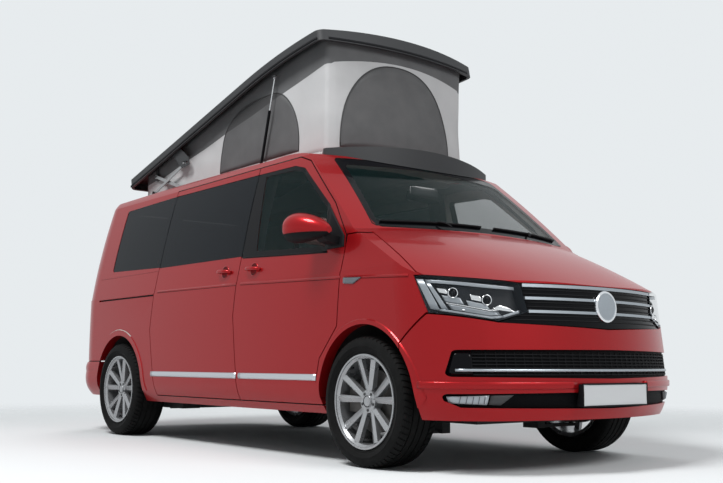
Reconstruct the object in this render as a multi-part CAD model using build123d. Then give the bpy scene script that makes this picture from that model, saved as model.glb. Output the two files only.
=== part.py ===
"""Camper van with a raised pop-up roof, as separate solids in one frame (mm, +X forward, +Z up)."""
import math
import os
from collections import namedtuple
from functools import cache

from build123d import *

# Overall sizes
LENGTH = 4904.0
BODY_HALF = 950.0
WHEELBASE = 3000.0
FRONT_OVERHANG = 908.0
TRACK = 1628.0
WALL = 60.0
GAP = 7.0
SEAT = 0.3
FIT = 0.05

FRONT = LENGTH / 2
AXLE_F = FRONT - FRONT_OVERHANG
AXLE_R = AXLE_F - WHEELBASE
WHEEL_Y = TRACK / 2

# Wheels
TYRE_R = 343.0
TYRE_W = 255.0
RIM_R = 232.0
WHEEL_Z = TYRE_R
ARCH_R = 397.0
TUB_R = 428.0
STUB_R = 22.0
KINGPIN_Y = 735.0

# Body belts, each drawn through three levels: height, then how far the side, nose and tail stand in
# from the body's greatest size, and the arcs of the tail in plan
Level = namedtuple("Level", "z side front rear tail_arc tail_corner")
SILL_TOP, CREASE, CANT = 472.0, 1040.0, 1790.0
BELTS = (
    (Level(265, 62, 50, 92, 2000, 350), Level(340, 22, 20, 58, 2000, 350), Level(SILL_TOP, 3, 5, 44, 2000, 350)),
    (Level(SILL_TOP, 3, 5, 44, 2000, 350), Level(740, 0, 38, 46, 2000, 350), Level(CREASE, 4, 74, 54, 2200, 360)),
    (Level(CREASE, 7, 77, 57, 2200, 360), Level(1420, 58, 112, 124, 2800, 385), Level(CANT, 134, 158, 262, 3700, 300)),
    (Level(CANT, 134, 158, 262, 3700, 300), Level(1845, 175, 170, 312, 4000, 250), Level(1890, 250, 180, 402, 4000, 220)),
)
NOSE_ARC = 1500.0
NOSE_CORNER = 450.0
TAIL_TAPER = 22.0

# Side profile of the bonnet, screen and roof at the centre plane
BONNET_FRONT = (-52.0, 938.0)
BONNET_MID = (-452.0, 1140.0)
BONNET_SLOPE = 0.375
SCREEN_FOOT = (-832.0, 1272.0)
SCREEN_RAKE = 1.176
SCREEN_HEAD_Z = 1799.0
ROOF_TOP = 1872.0
STATIONS = (-980.0, -800.0, -420.0, 0.0, 420.0, 800.0, 980.0)

# Roof mechanism, side view places (x from the front axle, z)
LID_TILT = 12.23
ARM_FOOT = (-2649.0, 1885.0)
ARM_HEAD = (-3089.0, 2033.0)
BRACE_FOOT = (-3081.0, 1895.0)
BRACE_HEAD = (-2586.0, 2063.0)
STRUT_FOOT = (-1510.0, 1878.0)
STRUT_HEAD = (-1354.0, 2462.0)
LID_HALF = 672.0
LID_EDGE = 70.0
TENT_HALF = 594.0
PIN_R = 8.0


def front_place(x):
    """A place measured from the front axle."""
    return AXLE_F + x


def rear_place(x):
    """A place measured from the rear axle."""
    return AXLE_R + x


def end_arcs(x_end, way, half, arc, corner):
    """Where the nose or tail arc meets its corner arc, that corner's middle and its end."""
    turn = math.asin((half - corner) / (arc - corner))
    centre = x_end - way * arc
    middle = (turn + math.pi / 2) / 2
    hub = (centre + way * (arc - corner) * math.cos(turn), half - corner)
    start = (centre + way * arc * math.cos(turn), arc * math.sin(turn))
    mid = (hub[0] + way * corner * math.cos(middle), hub[1] + corner * math.sin(middle))
    return start, mid, (hub[0], half)


def plan_wire(level, inset, tail=None):
    """The body's outline in plan at one level."""
    half = BODY_HALF - level.side - inset
    nose_x = FRONT - level.front - inset
    tail_x = -FRONT + (level.rear if tail is None else tail) + inset
    n1, n2, n3 = end_arcs(nose_x, 1, half, NOSE_ARC - inset, NOSE_CORNER - inset)
    t1, t2, t3 = end_arcs(tail_x, -1, half - TAIL_TAPER, level.tail_arc - inset, level.tail_corner - inset)
    z = level.z

    def at(p, way=1):
        return Vector(p[0], way * p[1], z)

    return Wire([
        ThreePointArc(at(n1, -1), (nose_x, 0, z), at(n1)),
        ThreePointArc(at(n1), at(n2), at(n3)),
        Line(at(n3), at(t3)),
        ThreePointArc(at(t3), at(t2), at(t1)),
        ThreePointArc(at(t1), (tail_x, 0, z), at(t1, -1)),
        ThreePointArc(at(t1, -1), at(t2, -1), at(t3, -1)),
        Line(at(t3, -1), at(n3, -1)),
        ThreePointArc(at(n3, -1), at(n2, -1), at(n1, -1)),
    ])


def profile_wire(y, inset):
    """The body's side profile at one distance from the centre plane."""
    far = abs(y)
    fall_front = 200 * (far / 980) ** 2.6
    fall_rear = 125 * (far / 980) ** 2.6
    sag = 140 * (far / 800) ** 2
    fall_roof = 35 * (far / 790) ** 2
    slope = BONNET_SLOPE + (fall_front - fall_rear) / 400
    mid_x = FRONT + BONNET_MID[0]
    mid_z = BONNET_MID[1] - fall_front
    foot_x = FRONT + SCREEN_FOOT[0] - sag
    cowl_x = (SCREEN_FOOT[1] + foot_x / SCREEN_RAKE - mid_z - slope * mid_x) / (1 / SCREEN_RAKE - slope)
    cowl_z = mid_z + slope * (mid_x - cowl_x)
    head_x = foot_x - SCREEN_RAKE * (SCREEN_HEAD_Z - SCREEN_FOOT[1])
    front = (FRONT + BONNET_FRONT[0], BONNET_FRONT[1] - 1.15 * fall_front - 1.05 * inset)
    tip = (FRONT + 150, front[1] - 105)
    cowl = (cowl_x - 0.45 * inset, cowl_z - inset)
    screen = ((cowl_x + head_x) / 2 + 6 - 0.65 * inset, (cowl_z + SCREEN_HEAD_Z) / 2 + 8 - 0.76 * inset)
    head = (head_x - 0.5 * inset, SCREEN_HEAD_Z - 0.86 * inset)
    crown = (head_x - 190, SCREEN_HEAD_Z + 44 - 0.4 * fall_roof - inset)
    roof = (head_x - 440, ROOF_TOP - 8 - fall_roof - inset)
    back = (-FRONT - 200, ROOF_TOP - 20 - fall_roof - inset)
    top = ((roof[0] + back[0]) / 2, ROOF_TOP + 6 - fall_roof - inset)

    def at(p):
        return Vector(p[0], y, p[1])

    return Wire([
        Line(at((tip[0], 0)), at(tip)),
        Line(at(tip), at(front)),
        ThreePointArc(at(front), at((mid_x, mid_z - 1.05 * inset)), at(cowl)),
        ThreePointArc(at(cowl), at(screen), at(head)),
        ThreePointArc(at(head), at(crown), at(roof)),
        ThreePointArc(at(roof), at(top), at(back)),
        Line(at(back), at((back[0], 0))),
        Line(at((back[0], 0)), at((tip[0], 0))),
    ])


def one(shape):
    """The single solid, or all solids as one shape."""
    found = shape.solids()
    return found[0] if len(found) == 1 else Compound(found)


@cache
def skin(inset, bottom=None):
    """The solid inside the body's surface, moved in by inset."""
    plan = None
    for belt in BELTS:
        if plan is None and bottom is not None:
            belt = (belt[0]._replace(z=bottom),) + belt[1:]
        layer = Solid.make_loft([plan_wire(level, inset) for level in belt], False)
        plan = layer if plan is None else plan + layer
    profile = Solid.make_loft([profile_wire(y, inset) for y in STATIONS], False)
    return one(plan & profile)


def grow(points, by):
    """A closed outline moved outward by a distance."""
    area = sum(a[0] * b[1] - b[0] * a[1] for a, b in zip(points, points[1:] + points[:1]))
    way = 1 if area > 0 else -1
    lines = []
    for a, b in zip(points, points[1:] + points[:1]):
        dx, dy = b[0] - a[0], b[1] - a[1]
        size = math.hypot(dx, dy)
        nx, ny = way * dy / size, -way * dx / size
        lines.append((nx, ny, nx * a[0] + ny * a[1] + by))
    moved = []
    for (a1, b1, c1), (a2, b2, c2), point in zip(lines[-1:] + lines[:-1], lines, points):
        det = a1 * b2 - a2 * b1
        if abs(det) < 1e-6:
            moved.append((point[0] + a1 * by, point[1] + b1 * by))
        else:
            moved.append(((c1 * b2 - c2 * b1) / det, (a1 * c2 - a2 * c1) / det))
    return moved


def flat(points, corner=0.0):
    """A plane face through points, with its corners rounded."""
    face = Face(Wire.make_polygon([Vector(*p) for p in points], close=True))
    return face.fillet_2d(corner, face.vertices()) if corner > 0 else face


def side_prism(points, near, far, corner=0.0):
    """A side view outline (x, z) drawn from y near to y far."""
    face = flat([(x, near, z) for x, z in points], corner)
    return Solid.extrude(face, Vector(0, far - near, 0))


def front_prism(points, back, ahead, corner=0.0):
    """A front view outline (y, z) drawn from x back to x ahead."""
    face = flat([(back, y, z) for y, z in points], corner)
    return Solid.extrude(face, Vector(ahead - back, 0, 0))


def top_prism(points, low, high, corner=0.0):
    """A plan outline (x, y) drawn from z low to z high."""
    face = flat([(x, y, low) for x, y in points], corner)
    return Solid.extrude(face, Vector(0, 0, high - low))


def mirrored(points):
    """A half outline given for y at or above 0, closed over the centre plane."""
    return list(points) + [(-y, z) for y, z in reversed(points) if y > 0]


def box(x, y, z):
    """A box between three pairs of limits."""
    made = Solid.make_box(x[1] - x[0], y[1] - y[0], z[1] - z[0])
    return made.moved(Location((x[0], y[0], z[0])))


def rod(start, end, radius):
    """A round bar between two points."""
    way = Vector(*end) - Vector(*start)
    return Solid.make_cylinder(radius, way.length, Plane(origin=start, z_dir=way))


def across(x, z, radius, y_from, y_to):
    """A round bar along Y."""
    return rod((x, y_from, z), (x, y_to, z), radius)


def bar(points, width, y_from, y_to, eye):
    """A flat arm through side view points with round ends, drawn along Y."""
    made = across(*points[0], eye, y_from, y_to)
    for a, b in zip(points, points[1:]):
        size = math.hypot(b[0] - a[0], b[1] - a[1])
        nx, nz = -(b[1] - a[1]) / size * width / 2, (b[0] - a[0]) / size * width / 2
        strip = [(a[0] + nx, a[1] + nz), (b[0] + nx, b[1] + nz), (b[0] - nx, b[1] - nz), (a[0] - nx, a[1] - nz)]
        made = made + side_prism(strip, y_from, y_to) + across(*b, eye, y_from, y_to)
    return one(made)


def flip(shape):
    """The same piece on the other side."""
    return shape.mirror(Plane.XZ)


def pair(shape):
    """A piece for the left side and its like on the right."""
    return Compound(list(shape.solids()) + list(flip(shape).solids()))


def cut(shape, *tools):
    return one(shape - list(tools))


def biggest(shape):
    """The largest solid of a shape."""
    return max(shape.solids(), key=lambda s: s.volume)


def join(*shapes):
    made = shapes[0]
    for other in shapes[1:]:
        made = made + other
    return one(made)


nodes = {}
outer = skin(0)
inner = skin(WALL, 150)
lining = skin(WALL + SEAT, 150)
glass_out = skin(3)
glass_in = skin(9, 150)
thin_in = skin(28, 150)

# Side view outlines of the openings, x measured from an axle
B_LINE = [(-1218, 1790), (-1262, 1194), (-1314, 840), (-1251, 312)]
DOOR = [(front_place(x), z) for x, z in B_LINE + [
    (-369, 312), (-405, 451), (-371, 569), (-210, 742), (-189, 1014), (-166, 1139), (-156, 1232),
    (-306, 1440), (-640, 1745), (-760, 1788)]]
SLIDER = [(front_place(x), z) for x, z in B_LINE] + [
    (rear_place(x), z) for x, z in ((604, 312), (517, 779), (588, 1203), (656, 1790))]
DOOR_PANE = [(front_place(x), z) for x, z in (
    (-1300, 1206), (-1260, 1744), (-800, 1738), (-690, 1708), (-350, 1432), (-330, 1163))]
DOOR_SIGHT = [(front_place(x), z) for x, z in (
    (-1092, 1232), (-1128, 1716), (-810, 1710), (-706, 1682), (-380, 1418), (-362, 1194))]
SLIDER_PANE = [(front_place(-1200), 1210), (front_place(-1200), 1744), (rear_place(570), 1752), (rear_place(520), 1222)]
SLIDER_SIGHT = [(front_place(-1334), 1240), (front_place(-1296), 1716), (rear_place(728), 1722), (rear_place(668), 1250)]
QUARTER_PANE = [(rear_place(x), z) for x, z in ((640, 1224), (700, 1752), (-168, 1738), (-232, 1250))]
QUARTER_SIGHT = [(rear_place(x), z) for x, z in ((518, 1254), (576, 1722), (-130, 1710), (-190, 1278))]
SCREEN = mirrored([(0, 1300), (788, 1290), (672, 1780), (0, 1804)])
GATE = mirrored([(0, 566), (735, 566), (745, 1000), (720, 1250), (566, 1806), (0, 1806)])
GATE_PANE = mirrored([(0, 1236), (640, 1236), (520, 1716), (0, 1736)])
HINGE_X = front_place(-111)
HINGE_Y = BODY_HALF - 30

# Front view outlines
GRILLE = mirrored([(0, 722), (648, 742), (506, 796), (532, 936), (0, 934)])
LAMP = [(532, 938), (506, 796), (655, 748), (1000, 806), (1000, 986)]
LAMP_SIDE = [(FRONT - 514, 1000), (FRONT - 418, 780), (FRONT + 60, 700), (FRONT + 60, 1000)]
INTAKE = mirrored([(0, 468), (880, 478), (850, 608), (0, 614)])
SLOT = mirrored([(0, 318), (815, 330), (872, 362), (884, 396), (0, 404)])

front_arch = across(front_place(20), WHEEL_Z + 7, ARCH_R, 430, 1100)
rear_arch = across(AXLE_R, WHEEL_Z + 7, ARCH_R, 430, 1100)
arches = [front_arch, flip(front_arch), rear_arch, flip(rear_arch)]
flare_skin = skin(-5)
FLARE_WIDE, FLARE_NARROW = ARCH_R + 62, ARCH_R + 20


def flare(x, zone):
    """The raised lip of the left wheel arch about x, inside the zone of its panel."""
    hub_plane = Plane(origin=(x, BODY_HALF - 34, WHEEL_Z + 7), z_dir=(0, 1, 0))
    return one(Solid.make_cone(FLARE_WIDE, FLARE_NARROW, 40, hub_plane) & flare_skin & zone)



# Bonnet, wings and bumpers
bonnet_plan = [(FRONT - 838, 0), (FRONT - 858, 420), (FRONT - 940, 838), (FRONT - 650, 884), (FRONT - 500, 914),
               (FRONT - 410, 890), (FRONT + 60, 640), (FRONT + 60, 0)]
bonnet_plan = bonnet_plan + [(x, -y) for x, y in reversed(bonnet_plan) if y > 0]
bonnet_zone = top_prism(bonnet_plan, 700, 1500)
under_bonnet = front_prism(mirrored([(0, 600), (1000, 600), (1000, 990), (532, 943), (0, 941)]), 1000, FRONT + 60)
nodes["bonnet"] = cut(one((outer & bonnet_zone)), thin_in, under_bonnet)

WING = [(front_place(x), z) for x, z in (
    (-369, 312), (-405, 451), (-371, 569), (-210, 742), (-189, 1014), (-166, 1139), (-156, 1244), (60, 1244),
    (560, 1244), (560, 760), (474, 790), (320, 648), (320, 286), (-369, 286))]
bonnet_gap = top_prism(grow(bonnet_plan, GAP), 700, 1500)
lamp_gap = front_prism(grow(LAMP, 3), 1500, FRONT + 60)
lamp_side = side_prism(grow(LAMP_SIDE, 3), -1100, 1100)
lamp_room = one(lamp_gap & lamp_side)
wing_zone = side_prism(grow(WING, -GAP / 2), 500, 1100)
wing = join(one(outer & wing_zone), flare(front_place(20), wing_zone))
wing = biggest(cut(wing, inner, front_arch, bonnet_gap, lamp_room))
nodes["front_wings"] = pair(wing)

BUMPER = [(front_place(x), z) for x, z in (
    (476, 783), (323, 643), (323, 200), (1000, 200), (1000, 783))]
bumper_front = front_prism(mirrored([(0, 200), (1000, 200), (1000, 799), (655, 741), (0, 716)]), 1000, FRONT + 60)
bumper = one(outer & side_prism(BUMPER, -1100, 1100))
bumper_lip = flare(front_place(20), side_prism(BUMPER, 500, 1100))
bumper = join(one(bumper & bumper_front), bumper_lip, flip(bumper_lip))
bumper = cut(bumper, inner, front_arch, flip(front_arch), front_prism(INTAKE, FRONT - 480, FRONT + 60, 20),
             front_prism(SLOT, FRONT - 480, FRONT + 60, 14))
nodes["front_bumper"] = bumper

TAIL_BUMPER_TOP = 556.0
tail_loft = None
for (low, mid, top), tails in ((BELTS[0], (34, 6, 0)), (BELTS[1], (0, 4, 34))):
    heights = (285, 340, SILL_TOP) if low is BELTS[0][0] else (SILL_TOP, 522, 549)
    levels = [level._replace(z=z) for level, z in zip((low, mid, top), heights)]
    layer = Solid.make_loft([plan_wire(level, 0, tail) for level, tail in zip(levels, tails)], False)
    tail_loft = layer if tail_loft is None else one(tail_loft + layer)
tail_zone = box((-FRONT - 50, AXLE_R - 300), (-1100, 1100), (200, TAIL_BUMPER_TOP - GAP))
tail_lip = flare(AXLE_R, tail_zone)
rear_bumper = join(one(tail_loft & tail_zone), tail_lip, flip(tail_lip))
rear_bumper = cut(rear_bumper, inner, rear_arch, flip(rear_arch))
gate_stop = box((-FRONT + 74, -FRONT + 98), (270, 330), (500, 566 + GAP / 2 - SEAT))
nodes["rear_bumper"] = join(rear_bumper, gate_stop, flip(gate_stop))

# Grille, lamps and lower intakes
grille_back = skin(40, 150)
nodes["grille"] = cut(one(skin(8) & front_prism(grow(GRILLE, -SEAT), FRONT - 300, FRONT + 60)), grille_back)
BARS = ((930, 8, 520), (866, 7, 512), (800, 7, 500))
bars = []
for z, half, reach in BARS:
    strip = front_prism([(-reach, z - half), (reach, z - half), (reach, z + half), (-reach, z + half)],
                        FRONT - 300, FRONT + 60)
    bars.append(cut(one(outer & strip), skin(7.7)))
nodes["grille_bars"] = Compound(bars)
lamp = one(outer & front_prism(grow(LAMP, -SEAT), 1500, FRONT + 60))
lamp = cut(one(lamp & side_prism(LAMP_SIDE, -1100, 1100)), inner)
nodes["headlamps"] = pair(lamp)
lower = cut(one(skin(14) & front_prism(grow(INTAKE, -SEAT), FRONT - 470, FRONT + 60, 20)), grille_back)
slot = cut(one(skin(14) & front_prism(grow(SLOT, -SEAT), FRONT - 470, FRONT + 60, 14)), grille_back)
nodes["lower_grilles"] = Compound([lower, slot])
plate = box((FRONT - 60, FRONT), (-260, 260), (332, 442))
nodes["front_plate"] = cut(plate, skin(-SEAT))

# Doors, glass and mirrors
glass_seat = skin(9 + SEAT, 150)


def glaze(outline, sight, zone, near, far):
    """A bonded pane inside a zone, then the shallow seat and the clear opening that its panel needs."""
    pane = one(glass_out & side_prism(grow(outline, -SEAT), near, far, 24) & zone)
    seat_cut = cut(side_prism(outline, near, far, 24), glass_seat)
    return cut(pane, glass_in), [seat_cut, side_prism(sight, near, far, 24)]


door_zone = side_prism(grow(DOOR, -GAP / 2), 500, 1100)
pane, glazing = glaze(DOOR_PANE, DOOR_SIGHT, door_zone, 500, 1100)
door = cut(one(outer & door_zone), inner, front_arch, *glazing,
           rod((HINGE_X, HINGE_Y, 200), (HINGE_X, HINGE_Y, 1400), 56))
# Mirror: x from the front axle, then the middle and half sizes of its oval section
MIRROR = ((-459, 1064, 78, 1288, 76), (-424, 1062, 84, 1290, 83), (-340, 1056, 76, 1288, 76),
          (-250, 1034, 52, 1276, 52), (-196, 1012, 18, 1264, 18))


def oval(x, y, half_y, z, half_z):
    """An oval of four arcs across the X axis."""
    knee_y, knee_z = 0.74 * half_y, 0.74 * half_z
    ends = [Vector(x, y + half_y, z), Vector(x, y, z + half_z), Vector(x, y - half_y, z), Vector(x, y, z - half_z)]
    knees = [Vector(x, y + a * knee_y, z + b * knee_z) for a, b in ((1, 1), (-1, 1), (-1, -1), (1, -1))]
    return Wire([ThreePointArc(ends[i], knees[i], ends[(i + 1) % 4]) for i in range(4)])


housing = Solid.make_loft([oval(front_place(x), *rest) for x, *rest in MIRROR], False)
part_line = box((front_place(-500), front_place(-150)), (1000, 1160), (1254, 1256))
part_line = cut(part_line, Solid.make_loft([oval(front_place(x), y, a - 2, z, b - 2) for x, y, a, z, b in MIRROR], False))
stalk = front_prism([(850, 1178), (850, 1222), (1000, 1252), (1060, 1250), (1000, 1206)], front_place(-304),
                    front_place(-222))
mirror = join(cut(housing, part_line), cut(stalk, skin(-SEAT)))
for name, make in (("left", lambda s: s), ("right", flip)):
    nodes["door_" + name] = make(door)
    nodes["door_glass_" + name] = make(pane)
    nodes["mirror_" + name] = make(mirror)

slider_zone = side_prism(grow(SLIDER, -GAP / 2), -1100, -500)
slider_pane, glazing = glaze(SLIDER_PANE, SLIDER_SIGHT, slider_zone, -1100, -500)
nodes["sliding_door"] = cut(one(outer & slider_zone), inner, *glazing)
nodes["sliding_door_glass"] = slider_pane
quarter_zone = cut(box((-FRONT, FRONT), (-1100, 1100), (0, 2000)), side_prism(grow(SLIDER, GAP / 2), -1100, 1100))
PANES = ((QUARTER_PANE, QUARTER_SIGHT, quarter_zone, -1100, -500), (QUARTER_PANE, QUARTER_SIGHT, quarter_zone, 500, 1100),
         (SLIDER_PANE, SLIDER_SIGHT, flip(slider_zone), 500, 1100))
fixed = []
shell_glazing = []
for window in PANES:
    pane, glazing = glaze(*window)
    fixed.append(pane)
    shell_glazing += glazing
nodes["side_windows"] = Compound(fixed)
nodes["windscreen"] = cut(one(glass_out & front_prism(grow(SCREEN, -SEAT), 600, FRONT, 40)), glass_in)

# Tailgate, its glass and the tail lamps
GATE_HINGE = (-FRONT + 352, 1850.0)
barrel_edge = ThreePointArc((GATE_HINGE[0] - 60, -600, GATE_HINGE[1]), (GATE_HINGE[0] - 95, 0, GATE_HINGE[1]),
                            (GATE_HINGE[0] - 60, 600, GATE_HINGE[1]))
barrel_rim = Wire([barrel_edge, Line(barrel_edge @ 1, (GATE_HINGE[0], 600, GATE_HINGE[1])),
                   Line((GATE_HINGE[0], 600, GATE_HINGE[1]), (GATE_HINGE[0], -600, GATE_HINGE[1])),
                   Line((GATE_HINGE[0], -600, GATE_HINGE[1]), barrel_edge @ 0)])
barrel = Solid.revolve(Face(barrel_rim), 360, Axis((GATE_HINGE[0], 0, GATE_HINGE[1]), (0, 1, 0)))
gate = one(outer & front_prism(grow(GATE, -GAP / 2), -FRONT - 60, GATE_HINGE[0]))
nodes["tailgate"] = biggest(cut(gate, inner, barrel, front_prism(GATE_PANE, -FRONT - 60, -FRONT + 700, 40)))
gate_pane = one(glass_out & front_prism(grow(GATE_PANE, -SEAT), -FRONT - 60, -FRONT + 700, 40))
nodes["tailgate_glass"] = cut(gate_pane, glass_in)
TAIL_LAMP = [(764, 800), (766, 1100), (1000, 1100), (1000, 800)]
tail_lamp = one(outer & front_prism(grow(TAIL_LAMP, -SEAT), -FRONT - 60, -FRONT + 270))
nodes["tail_lamps"] = pair(cut(tail_lamp, inner))

# Body shell with the pillars, roof and quarters
rear_lip = flare(AXLE_R, box((AXLE_R - 480, AXLE_R + 480), (500, 1100), (200, 1000)))
shell = cut(join(outer, rear_lip, flip(rear_lip)), inner)
openings = list(arches)
for near, far in ((500, 1100), (-1100, -500)):
    openings.append(side_prism(grow(DOOR, GAP / 2), near, far))
    openings.append(side_prism(grow(WING, GAP / 2), near, far))
openings.append(side_prism(grow(SLIDER, GAP / 2), -1100, -500))
openings += shell_glazing
openings.append(front_prism(SCREEN, 600, FRONT, 40))
openings.append(front_prism(grow(GATE, GAP / 2), -FRONT - 60, GATE_HINGE[0] + GAP))
openings.append(box((-FRONT - 60, -FRONT + 300), (-735, 735), (TAIL_BUMPER_TOP - GAP, 580)))
for way in (1, -1):
    lamp_box = [(way * y, z) for y, z in TAIL_LAMP]
    openings.append(front_prism(lamp_box, -FRONT - 60, -FRONT + 270 + SEAT))
openings.append(bonnet_gap)
openings.append(box((front_place(-369), FRONT + 60), (-1100, 1100), (100, 1240)))
openings.append(box((-FRONT - 60, AXLE_R - 300), (-1100, 1100), (200, TAIL_BUMPER_TOP)))
ROOF_HOLE = (rear_place(-230), front_place(-840))
openings.append(box(ROOF_HOLE, (-TENT_HALF + 20, TENT_HALF - 20), (1700, 1950)))
RECESSES = (
    ((-2964, -2500), (622, 645), 1700),
    ((-3154, -2694), (597, 623), 1822),
    ((-2694, -1440), (597, 623), 1838),
    ((-3139, -3019), (623, 647), 1838),
)
for (back, ahead), (near, far), low in RECESSES:
    recess = box((front_place(back), front_place(ahead)), (near, far), (low, 1950))
    openings += [recess, flip(recess)]
# Grooves in the right rear quarter: the rail of the sliding door, and the seam below the window
GROOVES = ((AXLE_R - 406, AXLE_R + 552, 1021, 1034, 14), (AXLE_R - 421, AXLE_R + 571, 1199, 1202, 3))
for back, ahead, low, high, depth in GROOVES:
    openings.append(cut(box((back, ahead), (-1100, -500), (low, high)), skin(depth, 150)))
nodes["body_shell"] = biggest(cut(shell, *openings))

# Underframe: floor, wheel tubs, bulkhead, centre posts and front panel
FLOOR_LOW = 300.0
FLOOR_TOP = 345.0
floor = lining & box((-FRONT + 70, front_place(-70)), (-1100, 1100), (FLOOR_LOW, FLOOR_TOP))
inner_room = box((-FRONT, FRONT), (-1100, 1100), (FLOOR_LOW, 1900))
TUBS = ((front_place(6), WHEEL_Z + 15, TUB_R, 480), (AXLE_R, WHEEL_Z + 10, ARCH_R + 8, 634))
tubs = []
wells = []
for x, z, radius, near in TUBS:
    tub = across(x, z, radius + 14, near - 14, 1100) & lining & inner_room
    well = across(x, z, radius, near, 1100)
    tubs += [tub, flip(tub)]
    wells += [well, flip(well)]
bulkhead = lining & box((front_place(-94), front_place(-70)), (-1100, 1100), (FLOOR_LOW, 1200))
band_core = skin(104, 150)
bands = one(lining & box((front_place(-94), FRONT), (-1100, 1100), (850, 890)))
beam = one(lining & box((front_place(426), FRONT), (-1100, 1100), (430, 560)))
bands = cut(bands, band_core)
beam = cut(beam, band_core)
front_panel = lining & box((front_place(426), front_place(446)), (-1100, 1100), (430, 890))
post_out = skin(WALL + 6, 150)
post_in = skin(118, 150)
strip = [(front_place(x - 60), z) for x, z in B_LINE] + [(front_place(x + 60), z) for x, z in reversed(B_LINE)]
post = cut(one(post_out & side_prism(strip, 500, 1100)), post_in)
cap = one(lining & box((front_place(-1290), front_place(-1150)), (500, 690), (1700, 1900)))
post = join(post, cut(cap, post_in))
bonnet_stop = one(skin(28 + SEAT, 150) & box((FRONT - 212, FRONT - 182), (400, 440), (870, 1100)))
PADS = ((950, 700), (-750, 700))
pads = [box((x - 40, x + 40), (y - 30, y + 30), (FLOOR_LOW - 15, FLOOR_TOP)) for x, y in PADS]
pads = pads + [flip(pad) for pad in pads]
underframe = join(floor, *pads, bonnet_stop, flip(bonnet_stop), *tubs, bulkhead, bands, beam, front_panel, post, flip(post))
nodes["underframe"] = biggest(cut(underframe, *wells))

# Pop-up lid, drawn flat about its rear pin, then tilted
LID_BACK, LID_FRONT, LID_LOW = -380.0, 2396.0, 22.0
head_x, head_z = front_place(ARM_HEAD[0]), ARM_HEAD[1]
tilt = math.radians(LID_TILT)


def in_lid(shape):
    """Moves a piece from the frame of the lid to its raised place."""
    return shape.moved(Location((head_x, 0, head_z), (0, -LID_TILT, 0)))


def lid_point(place):
    """A side view place in the frame of the lid."""
    x, z = front_place(place[0]) - head_x, place[1] - head_z
    return x * math.cos(tilt) + z * math.sin(tilt), z * math.cos(tilt) - x * math.sin(tilt)


def lid_wire(y, low, high):
    """The side profile of the lid at one y, between two heights above its lower edge."""
    def at(x, z):
        return Vector(x, y, LID_LOW + z)

    a, b, mid, c = (LID_BACK - 60, -2), (1500, 56), (2040, 44), (LID_FRONT + 140, -16)
    return Wire([
        Line(at(a[0], a[1] + low), at(b[0], b[1] + low)),
        ThreePointArc(at(b[0], b[1] + low), at(mid[0], mid[1] + low), at(c[0], c[1] + low)),
        Line(at(c[0], c[1] + low), at(c[0], c[1] + high)),
        ThreePointArc(at(c[0], c[1] + high), at(mid[0], mid[1] + high), at(b[0], b[1] + high)),
        Line(at(b[0], b[1] + high), at(a[0], a[1] + high)),
        Line(at(a[0], a[1] + high), at(a[0], a[1] + low)),
    ])


def lid_loft(low, drop):
    """The crowned body of the lid between its lower edge and its top."""
    rises = ((-LID_HALF - 20, -2), (0, 28), (LID_HALF + 20, -2))
    return Solid.make_loft([lid_wire(y, low, LID_EDGE - drop + rise) for y, rise in rises], False)


def bowed_plan(back, ahead, bow, half, corner, low, height):
    """A plan outline with straight sides and a bowed front edge, drawn upward."""
    face = Face(Wire([
        ThreePointArc((ahead, -half, low), (ahead + bow, 0, low), (ahead, half, low)),
        Line((ahead, half, low), (back, half, low)),
        Line((back, half, low), (back, -half, low)),
        Line((back, -half, low), (ahead, -half, low)),
    ]))
    return Solid.extrude(face.fillet_2d(corner, face.vertices()), Vector(0, 0, height))


def lug(x, z, reach, top_half, top):
    """A bracket plate with a pin, reaching up or down to a height."""
    plate = side_prism([(x - 15, z), (x + 15, z), (x + top_half, top), (x - top_half, top)], 600, 606)
    return join(plate, across(x, z, 15, 600, 606), across(x, z, PIN_R, 603, reach))


lid = one(lid_loft(0, 0) & bowed_plan(LID_BACK, LID_FRONT - 20, 92, LID_HALF, 60, -200, 600))
lid = cut(lid, one(lid_loft(-60, 22) & bowed_plan(LID_BACK + 20, LID_FRONT - 40, 92, LID_HALF - 20, 42, -200, 600)))
sx, sz = lid_point(STRUT_HEAD)
gx, gz = lid_point(BRACE_HEAD)
side_plate = side_prism([(gx - 196, gz + 180), (gx - 80, gz + 186), (gx + 86, gz + 14), (gx + 86, gz - 42),
                         (gx - 30, gz - 28)], 637, 643)
groove = bar([(gx - 4, gz + 1), (gx + 58, gz - 14)], 2 * PIN_R + 8, 600, 700, PIN_R + 4)
lugs = [lug(0, 0, 621, 22, 90), lug(sx, sz, 632, 24, sz + 66), cut(side_plate, groove)]
lugs = lugs + [flip(part) for part in lugs]
nodes["roof_lid"] = in_lid(biggest(join(lid, *lugs)))

# Fabric tent between the roof and the lid
TENT_BACK, TENT_FRONT, CLOTH = front_place(-3290), front_place(-800), 6.0
tent = bowed_plan(TENT_BACK, TENT_FRONT, 66, TENT_HALF, 46, 1700, 1200)
tent = tent - bowed_plan(TENT_BACK + CLOTH, TENT_FRONT - CLOTH, 66, TENT_HALF - CLOTH, 40, 1700, 1200)
tent = one(tent & in_lid(lid_loft(-1500, 22 + SEAT)))
nodes["roof_tent"] = biggest(cut(tent, skin(-SEAT)))

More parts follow.
